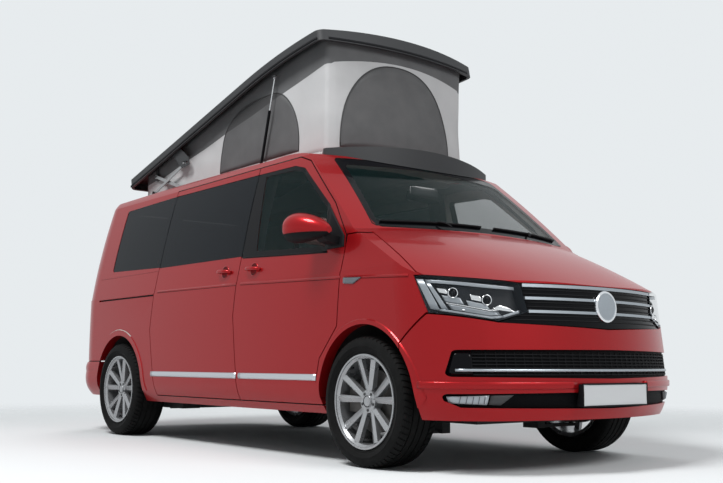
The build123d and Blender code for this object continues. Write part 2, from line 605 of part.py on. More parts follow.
# Roof brackets, arms and struts
foot = (front_place(ARM_FOOT[0]), ARM_FOOT[1])
base = (front_place(STRUT_FOOT[0]), STRUT_FOOT[1])
stay = (front_place(BRACE_FOOT[0]), BRACE_FOOT[1])
rail = box((foot[0] - 42, front_place(-1444)), (600, 620), (1838 + SEAT, 1847))
rail = join(rail, lug(*foot, 621, 34, 1840), lug(*base, 632, 30, 1840))
stand = join(box((stay[0] - 50, stay[0] + 50), (625, 646), (1838 + SEAT, 1848)),
             side_prism([(stay[0] - 34, 1840), (stay[0] + 34, 1840), (stay[0] + 15, stay[1]),
                         (stay[0] - 15, stay[1])], 638, 644),
             across(*stay, 15, 638, 644), across(*stay, PIN_R, 625, 640))
nodes["roof_brackets"] = pair(Compound([rail, stand]))
arm = cut(bar([foot, (head_x, head_z)], 24, 611, 619, 17), across(*foot, PIN_R + FIT, 600, 640),
          across(head_x, head_z, PIN_R + FIT, 600, 640))
nodes["roof_lift_arms"] = pair(arm)
brace_head = (front_place(BRACE_HEAD[0]), BRACE_HEAD[1])
brace = cut(bar([stay, brace_head], 22, 626, 632, 16), across(*stay, PIN_R + FIT, 600, 640))
nodes["roof_brace_arms"] = pair(join(brace, across(*brace_head, PIN_R, 630, 644)))
top = (front_place(STRUT_HEAD[0]), STRUT_HEAD[1])
reach = math.hypot(top[0] - base[0], top[1] - base[1])


def along(distance):
    """A point on the axis of the strut."""
    share = distance / reach
    return (base[0] + (top[0] - base[0]) * share, 622, base[1] + (top[1] - base[1]) * share)


tube = join(across(*base, 15, 612, 630), rod(along(8), along(376), 10))
tube = cut(tube, across(*base, PIN_R + FIT, 600, 640), rod(along(60), along(400), 5 + FIT))
nodes["strut_cylinders"] = pair(tube)
piston = join(across(*top, 14, 614, 630), rod(along(276), along(reach), 5))
nodes["strut_rods"] = pair(cut(piston, across(*top, PIN_R + FIT, 600, 640)))

# Deflector ahead of the lid
wind = Face(Wire([
    ThreePointArc((front_place(-700), -690, 1700), (front_place(-560), 0, 1700), (front_place(-700), 690, 1700)),
    Line((front_place(-700), 690, 1700), (front_place(-670), 690, 1700)),
    ThreePointArc((front_place(-670), 690, 1700), (front_place(-500), 0, 1700), (front_place(-670), -690, 1700)),
    Line((front_place(-670), -690, 1700), (front_place(-700), -690, 1700)),
]))
wind = Solid.extrude(wind, Vector(0, 0, 400))
DOME_R = 5574.0
dome = rod((0, 0, 1889 - DOME_R), (3000, 0, 1889 - DOME_R), DOME_R)
nodes["roof_deflector"] = biggest(cut(one(wind & dome), skin(-SEAT)))

# Tyres, rims with brake discs, knuckles and axles


def turned(edges):
    """A ring turned about the Y axis from edges given as (radius, y) points."""
    lines = []
    for points in edges:
        ends = [Vector(r, y, 0) for r, y in points]
        lines.append(Line(*ends) if len(ends) == 2 else ThreePointArc(*ends))
    return Solid.revolve(Face(Wire(lines)), 360, Axis.Y)


half = TYRE_W / 2
bead = RIM_R + SEAT
tyre = turned([
    ((bead, -98), (bead, 98)), ((bead, 98), (252, 106)), ((252, 106), (288, half), (326, half - 11)),
    ((326, half - 11), (338, half - 22), (TYRE_R, half - 42)), ((TYRE_R, half - 42), (TYRE_R, 42 - half)),
    ((TYRE_R, 42 - half), (338, 22 - half), (326, 11 - half)), ((326, 11 - half), (288, -half), (252, -106)),
    ((252, -106), (bead, -98))])
ring = turned([
    ((224, -104), (224, 96)), ((224, 96), (237, 108)), ((237, 108), (238, 114)), ((238, 114), (248, 114)),
    ((248, 114), (249, 107)), ((249, 107), (RIM_R, 99)), ((RIM_R, 99), (RIM_R, -99)), ((RIM_R, -99), (249, -107)),
    ((249, -107), (246, -114)), ((246, -114), (224, -104))])
hub = cut(rod((0, 28, 0), (0, 82, 0), 60), rod((0, 0, 0), (0, 76, 0), STUB_R + FIT))
SPOKES = 5
# Ends of one spoke arm: angle from the spoke's middle, radius, half width, back, edge and ridge
ARM_ENDS = ((4.5, 36, 15, 40, 72, 82), (15.5, 230, 21, 70, 94, 106))
spokes = []
for spoke in range(SPOKES):
    middle = math.radians(90 + 360 / SPOKES * spoke)
    for way in (1, -1):
        sections = []
        for angle, radius, width, back, edge, ridge in ARM_ENDS:
            at = middle + way * math.radians(angle)
            place = (radius * math.cos(at), radius * math.sin(at))
            corners = [(-width, back), (width, back), (width, edge), (-way * 0.3 * width, ridge), (-width, edge)]
            sections.append(Wire.make_polygon(
                [Vector(place[0] - a * math.sin(middle), y, place[1] + a * math.cos(middle)) for a, y in corners],
                close=True))
        spokes.append(Solid.make_loft(sections, True))
rim_core = rod((0, -60, 0), (0, 140, 0), 226)
spokes = [one(spoke & rim_core) for spoke in spokes]
rim = cut(join(ring, hub, *spokes), rod((0, 0, 0), (0, 76, 0), STUB_R + FIT))
disc = cut(rod((0, 2, 0), (0, 28 - SEAT, 0), 165), rod((0, 0, 0), (0, 14, 0), 90),
           rod((0, 0, 0), (0, 40, 0), STUB_R + 28))
rim_set = Compound([rim, disc])
CORNERS = (("front_left", AXLE_F, 1), ("front_right", AXLE_F, -1), ("rear_left", AXLE_R, 1), ("rear_right", AXLE_R, -1))
for name, x, way in CORNERS:
    for kind, shape in (("tyre_", tyre), ("rim_", rim_set)):
        placed = shape if way > 0 else flip(shape)
        nodes[kind + name] = placed.moved(Location((x, way * WHEEL_Y, WHEEL_Z)))

king = KINGPIN_Y - WHEEL_Y
stub = rod((0, king, 0), (0, 74, 0), STUB_R)
upright = box((-34, 34), (king - 28, king + 26), (-160, 160))
collar = rod((0, king, 0), (0, -4, 0), 44)
caliper = cut(one(box((-200, -96), (-30, 46), (-60, 60)) & rod((0, -40, 0), (0, 60, 0), 204)),
              rod((0, -6, 0), (0, 34, 0), 172))
carrier = box((-150, -20), (-60, -12), (-26, 26))
knuckle = join(upright, stub, collar, carrier, caliper)
for low, high in ((-184, -150), (150, 184)):
    knuckle = join(knuckle, rod((0, king, low), (0, king, high), 14))
knuckle = biggest(knuckle)
nodes["knuckle_left"] = knuckle.moved(Location((AXLE_F, WHEEL_Y, WHEEL_Z)))
nodes["knuckle_right"] = flip(knuckle).moved(Location((AXLE_F, -WHEEL_Y, WHEEL_Z)))

subframe = box((front_place(-244), front_place(330)), (-420, 420), (222, FLOOR_LOW - SEAT))
low_z, high_z = WHEEL_Z - 182, WHEEL_Z + 164
bore = rod((AXLE_F, KINGPIN_Y, 0), (AXLE_F, KINGPIN_Y, 700), 14 + FIT)
lower_arm = join(box((front_place(-30), front_place(30)), (380, KINGPIN_Y), (low_z, low_z + 18)),
                 rod((AXLE_F, KINGPIN_Y, low_z), (AXLE_F, KINGPIN_Y, low_z + 18), 30),
                 box((front_place(-60), front_place(60)), (360, 420), (low_z, 260)))
lower_arm = cut(lower_arm, bore)
upper_arm = join(box((front_place(-24), front_place(24)), (480 + SEAT, KINGPIN_Y), (high_z, high_z + 16)),
                 rod((AXLE_F, KINGPIN_Y, high_z), (AXLE_F, KINGPIN_Y, high_z + 16), 28),
                 rod((AXLE_F, 530, high_z), (AXLE_F, 530, WHEEL_Z + 400), 34))
upper_arm = cut(upper_arm, bore)
nodes["front_subframe"] = Compound([join(subframe, lower_arm, flip(lower_arm)), upper_arm, flip(upper_arm)])

cross = rod((AXLE_R + 240, -600, 226), (AXLE_R + 240, 600, 226), 29)
arm_side = join(box((AXLE_R - 60, AXLE_R + 470), (560, 622), (205, 255)),
                box((AXLE_R + 400, AXLE_R + 470), (480, 622), (205, FLOOR_LOW - SEAT)),
                box((AXLE_R - 60, AXLE_R + 60), (560, 700), (205, 290)),
                box((AXLE_R - 60, AXLE_R + 60), (642, 700), (205, WHEEL_Z + 60)),
                rod((AXLE_R, 690, WHEEL_Z), (AXLE_R, WHEEL_Y - 4, WHEEL_Z), 44),
                rod((AXLE_R, 690, WHEEL_Z), (AXLE_R, WHEEL_Y + 74, WHEEL_Z), STUB_R))
nodes["rear_axle"] = join(cross, arm_side, flip(arm_side))
nodes["engine_block"] = box((front_place(30), front_place(330)), (-330, 330), (FLOOR_LOW, 880))
nodes["exhaust"] = join(rod((front_place(-244) - SEAT, -160, 277), (rear_place(-420), -160, 277), 21),
                        box((rear_place(-780), rear_place(-400)), (-420, 60), (215, FLOOR_LOW - SEAT)),
                        rod((rear_place(-760), -330, 250), (rear_place(-980), -330, 250), 24))
nodes["fuel_tank"] = box((rear_place(760), rear_place(1500)), (80, 640), (190, FLOOR_LOW - SEAT))

# Inside: seats, bench, dashboard, steering wheel and kitchen cabinet


def seat(x, y, width, back_top):
    """A seat facing forward: pedestal, cushion, leaning back and headrest."""
    low, high = y - width / 2, y + width / 2
    base_box = box((x - 200, x + 220), (low + 40, high - 40), (FLOOR_TOP + SEAT, 600))
    cushion = side_prism([(x - 250, 590), (x + 270, 610), (x + 290, 690), (x - 250, 680)], low, high)
    lean = side_prism([(x - 270, 640), (x - 140, 660), (x - 250, back_top), (x - 350, back_top)], low, high)
    rest = side_prism([(x - 350, back_top - 5), (x - 260, back_top - 5), (x - 285, back_top + 210),
                       (x - 355, back_top + 210)], y - 135, y + 135)
    return join(base_box, cushion, lean, rest)


driver = seat(front_place(-830), 430, 500, 1290)
nodes["front_seats"] = Compound([driver, flip(driver)])
nodes["rear_bench"] = seat(rear_place(320), -110, 980, 1230)
DASH = [(front_place(x), z) for x, z in (
    (-94 - SEAT, 830), (-94 - SEAT, 1190), (-190, 1176), (-330, 1100), (-390, 1040), (-370, 940), (-250, 830))]
nodes["dashboard"] = one(skin(78, 150) & side_prism(DASH, -1100, 1100))
grip = join(Solid.make_torus(180, 15), rod((0, 0, -30), (0, 0, 0), 56),
            box((-180, 180), (-18, 18), (-18, -4)), box((-180, 0), (-18, 18), (-18, -4)),
            rod((0, 0, -240), (0, 0, -20), 26))
grip = grip.moved(Location((front_place(-560), 430, 1080), (0, -62, 0)))
nodes["steering_wheel"] = biggest(cut(grip, nodes["dashboard"]))
cupboard = box((rear_place(-400), front_place(-1800)), (530, 1100), (FLOOR_TOP + SEAT, 1120))
nodes["kitchen_cabinet"] = biggest(cut(one(post_out & cupboard), across(AXLE_R, WHEEL_Z + 10, ARCH_R + 24, 500, 1100)))

os.makedirs("parts", exist_ok=True)
for name, shape in nodes.items():
    export_step(shape, "parts/" + name + ".step")
    print(name, len(shape.solids()), shape.is_valid, [round(v) for v in shape.bounding_box().size])
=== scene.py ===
"""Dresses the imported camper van: finishes, tyres, tent, lamps, trim, seats, floor, light and camera."""
import math

import bmesh
import bpy
from mathutils import Matrix, Vector
from mathutils.bvhtree import BVHTree


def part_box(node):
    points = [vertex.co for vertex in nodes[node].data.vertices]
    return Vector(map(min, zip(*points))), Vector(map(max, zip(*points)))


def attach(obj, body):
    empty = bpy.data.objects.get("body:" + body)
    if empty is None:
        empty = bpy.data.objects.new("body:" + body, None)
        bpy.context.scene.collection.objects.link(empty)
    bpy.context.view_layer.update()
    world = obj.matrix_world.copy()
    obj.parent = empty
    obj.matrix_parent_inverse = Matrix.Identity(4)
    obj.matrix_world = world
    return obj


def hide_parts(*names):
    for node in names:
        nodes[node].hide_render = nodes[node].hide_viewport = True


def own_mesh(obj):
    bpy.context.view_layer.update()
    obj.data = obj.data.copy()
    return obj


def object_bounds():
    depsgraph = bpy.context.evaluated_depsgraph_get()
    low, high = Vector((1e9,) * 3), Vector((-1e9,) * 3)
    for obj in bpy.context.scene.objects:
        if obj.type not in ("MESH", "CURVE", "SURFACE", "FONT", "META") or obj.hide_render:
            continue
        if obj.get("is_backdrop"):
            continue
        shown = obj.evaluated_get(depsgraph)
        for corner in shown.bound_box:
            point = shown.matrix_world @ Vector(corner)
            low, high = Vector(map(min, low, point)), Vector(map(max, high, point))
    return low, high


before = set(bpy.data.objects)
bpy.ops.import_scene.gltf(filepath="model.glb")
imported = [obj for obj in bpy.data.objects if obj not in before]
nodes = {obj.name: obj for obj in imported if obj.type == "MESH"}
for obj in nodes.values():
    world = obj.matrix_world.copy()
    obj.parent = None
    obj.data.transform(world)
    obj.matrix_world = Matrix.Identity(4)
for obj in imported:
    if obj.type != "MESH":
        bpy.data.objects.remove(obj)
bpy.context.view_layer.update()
scene = bpy.context.scene
SIDES = (("left", 1), ("right", -1))
UP = Vector((0, 0, 1))

# Materials
NOISE, CELLS = "ShaderNodeTexNoise", "ShaderNodeTexVoronoi"
MOTTLE_DETAIL, WEAR_DETAIL, WEAVE_BEND, WEAVE_DEPTH = 4.0, 5.0, 0.6, 0.0006
FLAKES = (0.1, 0.8)


def shader(name, colour, rough=0.5, metal=0.0, spec=0.5, **more):
    """A principled material; more holds further sockets, with _ for a space in their names."""
    made = bpy.data.materials.new(name)
    made.use_nodes = True
    sockets = made.node_tree.nodes["Principled BSDF"].inputs
    sockets["Base Color"].default_value = (*colour, 1)
    sockets["Roughness"].default_value = rough
    sockets["Metallic"].default_value = metal
    sockets["Specular IOR Level"].default_value = spec
    for key, value in more.items():
        sockets[key.replace("_", " ")].default_value = value
    return made


def add(made, kind, **values):
    """A node with its inputs set by name."""
    node = made.node_tree.nodes.new(kind)
    for key, value in values.items():
        node.inputs[key.replace("_", " ")].default_value = value
    return node


def link(made, source, out, target, name):
    made.node_tree.links.new(source.outputs[out], target.inputs[name])


def texture(made, kind, **values):
    """A texture in the object's own coordinates."""
    node = add(made, kind, **values)
    link(made, add(made, "ShaderNodeTexCoord"), "Object", node, "Vector")
    return node


def drive(made, source, out, socket):
    """Lets a node set a socket of the material's surface."""
    link(made, source, out, made.node_tree.nodes["Principled BSDF"], socket)
    return made


def mottle(made, low, high, scale, kind=NOISE, spread=(0.3, 0.7)):
    """Varies the colour between two tones."""
    noise = texture(made, kind, Scale=scale)
    if kind == NOISE:
        noise.inputs["Detail"].default_value = MOTTLE_DETAIL
    ramp = add(made, "ShaderNodeValToRGB")
    for element, position, tone in zip(ramp.color_ramp.elements, spread, (low, high)):
        element.position = position
        element.color = (*tone, 1)
    link(made, noise, 0, ramp, "Fac")
    return drive(made, ramp, "Color", "Base Color")


def worn(made, low, high, scale):
    """Varies the roughness between two values."""
    noise = texture(made, NOISE, Scale=scale, Detail=WEAR_DETAIL)
    reach = add(made, "ShaderNodeMapRange", To_Min=low, To_Max=high)
    link(made, noise, 0, reach, "Value")
    return drive(made, reach, "Result", "Roughness")


def relief(made, source, strength, depth):
    """Raises the surface by a node's value."""
    bump = add(made, "ShaderNodeBump", Strength=strength, Distance=depth)
    link(made, source, 0, bump, "Height")
    return drive(made, bump, "Normal", "Normal")


def grain(made, scale, strength, depth=0.001, kind=NOISE):
    """A fine relief in the surface."""
    return relief(made, texture(made, kind, Scale=scale), strength, depth)


def weave(made, scale, strength):
    """A woven relief from two crossed waves."""
    total = add(made, "ShaderNodeMath")
    for index, way in enumerate(("X", "Z")):
        wave = texture(made, "ShaderNodeTexWave", Scale=scale, Distortion=WEAVE_BEND, Detail=1.0)
        wave.bands_direction = way
        link(made, wave, "Fac", total, index)
    return relief(made, total, strength, WEAVE_DEPTH)


paint = shader("red_metallic_paint", (0.3, 0.005, 0.007), 0.3, 0.5, 0.12, Coat_Weight=0.28,
               Coat_Roughness=0.02)
mottle(paint, (0.28, 0.004, 0.006), (0.32, 0.006, 0.009), 2200, CELLS, FLAKES)
# Body paint darkened as painted shade, used on the rear bumper's top faces, in the door handle cups and just
# under the creases.
dark_paint = worn(shader("paint_in_shade", (0.085, 0.002, 0.003), 0.45, spec=0.08), 0.4, 0.5, 20)
strip_metal = worn(shader("grille_strip", (0.34, 0.37, 0.4), 0.32, 0.85), 0.28, 0.38, 30)
marker_grey = worn(shader("marker_lens", (0.11, 0.12, 0.135), 0.2, spec=0.3), 0.15, 0.25, 30)
black_gloss = worn(shader("gloss_black", (0.003, 0.003, 0.004), 0.12, spec=0.09), 0.08, 0.18, 9)
black_trim = worn(shader("black_trim", (0.004, 0.004, 0.005), 0.6, spec=0.12), 0.5, 0.68, 14)
grain(black_trim, 900, 0.25, 0.0006)
mesh_black = grain(shader("black_mesh", (0.0015, 0.0015, 0.002), 0.55, spec=0.05), 260, 0.6, 0.003, CELLS)
chrome = worn(shader("chrome", (0.78, 0.79, 0.81), 0.1, 1.0), 0.06, 0.16, 30)
satin = worn(shader("satin_silver", (0.56, 0.58, 0.61), 0.3, 1.0), 0.25, 0.36, 40)
alloy = shader("wheel_silver", (0.34, 0.345, 0.355), 0.32, 0.7, Coat_Weight=0.15, Coat_Roughness=0.05)
worn(alloy, 0.25, 0.3, 8)
pocket = worn(shader("wheel_pocket", (0.035, 0.036, 0.038), 0.45, 0.3), 0.38, 0.55, 40)
rubber = shader("tyre_rubber", (0.004, 0.004, 0.004), 0.75, spec=0.12)
grain(mottle(rubber, (0.003, 0.003, 0.003), (0.006, 0.006, 0.006), 22), 700, 0.3, 0.0006)
dark_glass = worn(shader("privacy_glass", (0.004, 0.006, 0.009), 0.03, spec=0.09, Alpha=0.88), 0.02, 0.05, 6)
clear_glass = worn(shader("front_glass", (0.004, 0.016, 0.016), 0.02, spec=0.12, Alpha=0.3), 0.015, 0.04, 6)
lens = shader("lamp_lens", (0.05, 0.06, 0.07), 0.03, spec=0.3, Alpha=0.12)
lamp_black = worn(shader("lamp_housing", (0.012, 0.014, 0.018), 0.35, spec=0.3), 0.3, 0.42, 40)
lamp_grey = worn(shader("lamp_frame", (0.34, 0.37, 0.4), 0.3, 0.3), 0.24, 0.4, 40)
lamp_bright = worn(shader("lamp_reflector", (0.86, 0.87, 0.88), 0.12, 0.9), 0.08, 0.2, 40)
red_lens = worn(shader("tail_lens", (0.11, 0.0015, 0.003), 0.12, spec=0.3), 0.06, 0.14, 20)
amber = shader("amber_lens", (0.75, 0.22, 0.02), 0.15, Coat_Weight=1.0)
white_plate = worn(shader("blank_plate", (0.55, 0.56, 0.57), 0.4, spec=0.2), 0.34, 0.46, 20)
lid_paint = shader("lid_anthracite", (0.03, 0.031, 0.033), 0.5, spec=0.25)
mottle(lid_paint, (0.027, 0.028, 0.03), (0.034, 0.035, 0.037), 1800, CELLS, FLAKES)
arm_grey = worn(shader("arm_grey", (0.33, 0.34, 0.345), 0.42, 0.6), 0.36, 0.5, 30)
steel = worn(shader("bright_steel", (0.62, 0.62, 0.63), 0.25, 1.0), 0.18, 0.34, 60)
iron = shader("cast_iron", (0.09, 0.088, 0.085), 0.6, 0.6)
grain(mottle(iron, (0.06, 0.058, 0.055), (0.13, 0.12, 0.115), 18), 160, 0.35, 0.0015)
under = shader("underbody_coat", (0.02, 0.02, 0.021), 0.8)
grain(mottle(under, (0.014, 0.014, 0.015), (0.03, 0.029, 0.028), 9), 220, 0.4, 0.0015)
cloth = shader("tent_cloth", (0.46, 0.465, 0.47), 0.85, Sheen_Weight=0.1)
weave(mottle(cloth, (0.44, 0.445, 0.45), (0.485, 0.49, 0.495), 5), 420, 0.3)
band_cloth = shader("tent_band", (0.1, 0.102, 0.105), 0.85)
weave(mottle(band_cloth, (0.09, 0.092, 0.095), (0.11, 0.112, 0.115), 6), 420, 0.3)
window_mesh = shader("tent_window", (0.078, 0.078, 0.08), 0.7)
weave(mottle(window_mesh, (0.068, 0.068, 0.07), (0.09, 0.09, 0.092), 7), 300, 0.35)
window_dark = weave(shader("tent_window_doubled", (0.032, 0.032, 0.033), 0.75), 300, 0.35)
seat_cloth = shader("seat_cloth", (0.24, 0.085, 0.07), 0.85, Sheen_Weight=0.2)
weave(mottle(seat_cloth, (0.2, 0.07, 0.058), (0.28, 0.1, 0.082), 40), 260, 0.4)
moulded = grain(worn(shader("moulded_dark", (0.03, 0.03, 0.032), 0.62), 0.55, 0.7, 12), 500, 0.3, 0.0006)
lining = mottle(shader("pale_lining", (0.36, 0.35, 0.33), 0.85), (0.33, 0.32, 0.3), (0.39, 0.38, 0.36), 12)
grain(lining, 300, 0.25)
laminate = shader("cabinet_laminate", (0.42, 0.4, 0.36), 0.4)
worn(mottle(laminate, (0.39, 0.37, 0.33), (0.46, 0.44, 0.4), 6), 0.34, 0.5, 14)

# Finishes of the CAD nodes


def finish_node(name, *mats):
    """Puts finishes on a CAD node; the first covers all of it."""
    mesh = nodes[name].data
    mesh.materials.clear()
    for mat in mats:
        mesh.materials.append(mat)
    for face in mesh.polygons:
        face.material_index = 0


def paint_faces(name, index, test):
    """Gives the faces that pass a test (centre, normal) another finish of the node."""
    for face in nodes[name].data.polygons:
        if test(face.center, face.normal):
            face.material_index = index


CORNERS = ("front_left", "front_right", "rear_left", "rear_right")
FINISH = (
    (paint, "bonnet front_wings front_bumper rear_bumper door_left door_right sliding_door tailgate"),
    (paint, "body_shell mirror_left mirror_right"),
    (clear_glass, "windscreen door_glass_left door_glass_right"),
    (dark_glass, "sliding_door_glass side_windows tailgate_glass"),
    (black_gloss, "grille strut_cylinders"), (strip_metal, "grille_bars"), (mesh_black, "lower_grilles"),
    (white_plate, "front_plate"), (red_lens, "tail_lamps"), (lamp_black, "headlamps"), (cloth, "roof_tent"),
    (lid_paint, "roof_lid roof_deflector"), (arm_grey, "roof_lift_arms roof_brace_arms"),
    (black_trim, "roof_brackets"), (steel, "strut_rods exhaust"), (laminate, "kitchen_cabinet"),
    (under, "underframe front_subframe rear_axle fuel_tank"),
    (iron, "knuckle_left knuckle_right engine_block"),
    (seat_cloth, "front_seats rear_bench"), (moulded, "dashboard steering_wheel"),
    (rubber, " ".join("tyre_" + corner for corner in CORNERS)),
    (alloy, " ".join("rim_" + corner for corner in CORNERS)),
)
for mat, names in FINISH:
    for name in names.split():
        finish_node(name, mat)

# Inner faces of the body in lining
WALL_Y, BELT_Z, CEILING_Z, FLOOR_Z = 0.5, 1.19, 1.5, 1.0
DOORS = ("door_left", "door_right", "sliding_door")
for name in DOORS + ("body_shell",):
    finish_node(name, paint, lining, black_trim)
    paint_faces(name, 1, lambda spot, normal: normal.y * spot.y < -0.2 and abs(spot.y) > WALL_Y)
for name in DOORS:
    paint_faces(name, 2, lambda spot, normal: spot.z > BELT_Z and abs(normal.y) < 0.6)
# The rear bumper's upward faces take the shade paint: painted shade that dulls the reflection along its top
# ledge.
finish_node("rear_bumper", paint, dark_paint)
paint_faces("rear_bumper", 1, lambda spot, normal: normal.z > 0.7)
finish_node("tailgate", paint, lining)
paint_faces("tailgate", 1, lambda spot, normal: normal.x > 0.3)
paint_faces("body_shell", 1, lambda spot, normal: normal.z < -0.4 and spot.z > CEILING_Z)
paint_faces("body_shell", 1, lambda spot, normal: normal.z > 0.6 and spot.z < FLOOR_Z)

# Making pieces


def piece(name, verts, faces, mats, body, picks=None, smooth=True, weld=False):
    """A mesh object in the frame's coordinates, riding on a body."""
    mesh = bpy.data.meshes.new(name)
    mesh.from_pydata([tuple(v) for v in verts], [], faces)
    for mat in mats:
        mesh.materials.append(mat)
    for index, face in enumerate(mesh.polygons):
        face.use_smooth = smooth
        if picks:
            face.material_index = picks[index]
    made = bmesh.new()
    made.from_mesh(mesh)
    if weld:
        bmesh.ops.remove_doubles(made, verts=made.verts, dist=1e-6)
    bmesh.ops.recalc_face_normals(made, faces=made.faces)
    made.to_mesh(mesh)
    made.free()
    return placed(name, mesh, body)


def placed(name, mesh, body):
    """An object of a mesh, riding on a body."""
    obj = bpy.data.objects.new(name, mesh)
    scene.collection.objects.link(obj)
    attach(obj, body)
    return obj


def modify(obj, kind, **values):
    mod = obj.modifiers.new(kind.lower(), kind)
    for key, value in values.items():
        setattr(mod, key, value)
    return obj


def tree(*names):
    """A search tree over CAD nodes, for setting trim on their surfaces."""
    verts, faces = [], []
    for name in names:
        mesh = nodes[name].data
        base = len(verts)
        verts += [v.co.copy() for v in mesh.vertices]
        faces += [[base + i for i in p.vertices] for p in mesh.polygons]
    return BVHTree.FromPolygons(verts, faces)


BODY = tree("body_shell", "front_wings", "front_bumper", "rear_bumper", "door_left", "door_right",
            "sliding_door", "tailgate", "bonnet", "door_glass_left", "door_glass_right",
            "sliding_door_glass", "side_windows", "windscreen", "tailgate_glass", "tail_lamps", "headlamps",
            "grille", "lower_grilles")
NUDGE_REACH, NUDGE_TURNS = (0.006, 0.012, 0.02), (0, 1.57, 3.14, 4.71)
NUDGES = [(0.0, 0.0)] + [(r * math.cos(a), r * math.sin(a)) for r in NUDGE_REACH for a in NUDGE_TURNS]
SIDE_START, SIDE_REACH = 1.4, 0.85
FRONT_START, FRONT_REACH = 3.0, 2.6
REAR_START, REAR_REACH = -3.2, 1.4


def cast(start, way, reach):
    """The first point and outward normal on the body along a ray, or a near one where that meets a gap."""
    start, way = Vector(start), Vector(way)
    across = UP.cross(way)
    for wide, high in NUDGES:
        shift = across * wide + UP * high
        spot, normal, _, _ = BODY.ray_cast(start + shift, way, reach)
        if spot is not None:
            return spot - shift, normal if normal.dot(way) < 0 else -normal
    raise ValueError("nothing at %s" % start)


def on_side(x, z, side):
    return cast((x, side * SIDE_START, z), (0, -side, 0), SIDE_REACH)


def side_caster(way):
    return lambda x, z: on_side(x, z, way)


def on_front(y, z):
    return cast((FRONT_START, y, z), (-1, 0, 0), FRONT_REACH)


def on_rear(y, z):
    return cast((REAR_START, y, z), (1, 0, 0), REAR_REACH)


def run(points, step):
    """Points along a broken line, about a step apart."""
    made = []
    for a, b in zip(points, points[1:]):
        count = max(1, round(math.dist(a, b) / step))
        made += [tuple(p + (q - p) * i / count for p, q in zip(a, b)) for i in range(count)]
    return made + [points[-1]]


JUMP = 0.05


def traced(points, caster, step):
    """Places and smoothed normals on the body along a broken line, leaving out jumps in depth."""
    made = []
    for point in run(points, step):
        found = caster(*point)
        if not made or (found[0] - made[-1][0]).length <= step + JUMP:
            made.append(found)
    near = [made[max(0, i - 2):i + 3] for i in range(len(made))]
    return [(m[0], sum((n[1] for n in some), Vector()).normalized()) for m, some in zip(made, near)]


def sweep(name, path, profile, mat, body="van", closed=False, smooth=True, taper=None):
    """A profile (across, out) drawn along places with normals."""
    count, size = len(path), len(profile)
    verts, faces = [], []
    for i, (spot, normal) in enumerate(path):
        before = path[i - 1][0] if i or closed else spot
        after = path[(i + 1) % count][0] if i < count - 1 or closed else spot
        side = (after - before).normalized().cross(normal).normalized()
        scale = taper(i / (count - 1)) if taper else 1.0
        verts += [spot + side * a * scale + normal * b * scale for a, b in profile]
    for i in range(count if closed else count - 1):
        j = (i + 1) % count
        for k in range(size):
            m = (k + 1) % size
            faces.append((i * size + k, i * size + m, j * size + m, j * size + k))
    if not closed:
        faces.append(tuple(range(size)))
        faces.append(tuple((count - 1) * size + k for k in range(size)))
    return piece(name, verts, faces, [mat], body, smooth=smooth)


def trim(name, line, caster, step, profile, mat, body="van", taper=None):
    """A strip along a broken line on the body."""
    return sweep(name, traced(line, caster, step), profile, mat, body, taper=taper)


def strip_profile(width, rise, sink=0.002, edge=0.3):
    """A low moulding with sloped edges."""
    w = width / 2
    shoulder = rise * 0.4
    flat = w - edge * w
    return [(-w, -sink), (-w, shoulder), (-flat, rise), (flat, rise), (w, shoulder), (w, -sink)]


def flat_profile(half, low, high):
    """A rectangle."""
    return [(-half, low), (-half, high), (half, high), (half, low)]


def grid_faces(columns, span, closed=False):
    """Quads between columns of span points."""
    faces = []
    for i in range(columns if closed else columns - 1):
        j = (i + 1) % columns
        for k in range(span - 1):
            faces.append((i * span + k, j * span + k, j * span + k + 1, i * span + k + 1))
    return faces


def turned(name, profile, centre, axis, body, mats, count=48, picks=None):
    """A ring or dish turned about an axis through a centre, from (radius, along) points."""
    axis = Vector(axis).normalized()
    one = axis.orthogonal().normalized()
    two = axis.cross(one)
    size = len(profile)
    verts, faces, marks = [], [], []
    for i in range(count):
        angle = 2 * math.pi * i / count
        out = one * math.cos(angle) + two * math.sin(angle)
        verts += [Vector(centre) + out * r + axis * h for r, h in profile]
    for i in range(count):
        j = (i + 1) % count
        for k in range(size - 1):
            faces.append((i * size + k, i * size + k + 1, j * size + k + 1, j * size + k))
            marks.append(picks[k] if picks else 0)
    return piece(name, verts, faces, mats, body, picks=marks, weld=True)


def rounded_box(name, low, high, radius, mat, cells, crown=(0, 0, 0), shear=None):
    """A box on the van with round edges and crowned faces; shear moves a point after that."""
    low, high = Vector(low), Vector(high)
    mid, half = (low + high) / 2, (high - low) / 2
    made = bmesh.new()
    bmesh.ops.create_cube(made, size=2.0)
    bmesh.ops.subdivide_edges(made, edges=made.edges, cuts=cells, use_grid_fill=True)
    for vert in made.verts:
        unit = vert.co.copy()
        spot = Vector((unit[i] * half[i] for i in range(3)))
        core = Vector((max(-half[i] + radius, min(half[i] - radius, spot[i])) for i in range(3)))
        off = spot - core
        if off.length > 1e-9:
            spot = core + off.normalized() * radius
        for i in range(3):
            others = [unit[j] for j in range(3) if j != i]
            spot[i] += crown[i] * unit[i] * (1 - others[0] ** 2) * (1 - others[1] ** 2)
        spot = mid + spot
        vert.co = shear(spot) if shear else spot
    mesh = bpy.data.meshes.new(name)
    made.to_mesh(mesh)
    made.free()
    mesh.materials.append(mat)
    mesh.shade_smooth()
    return placed(name, mesh, "van")


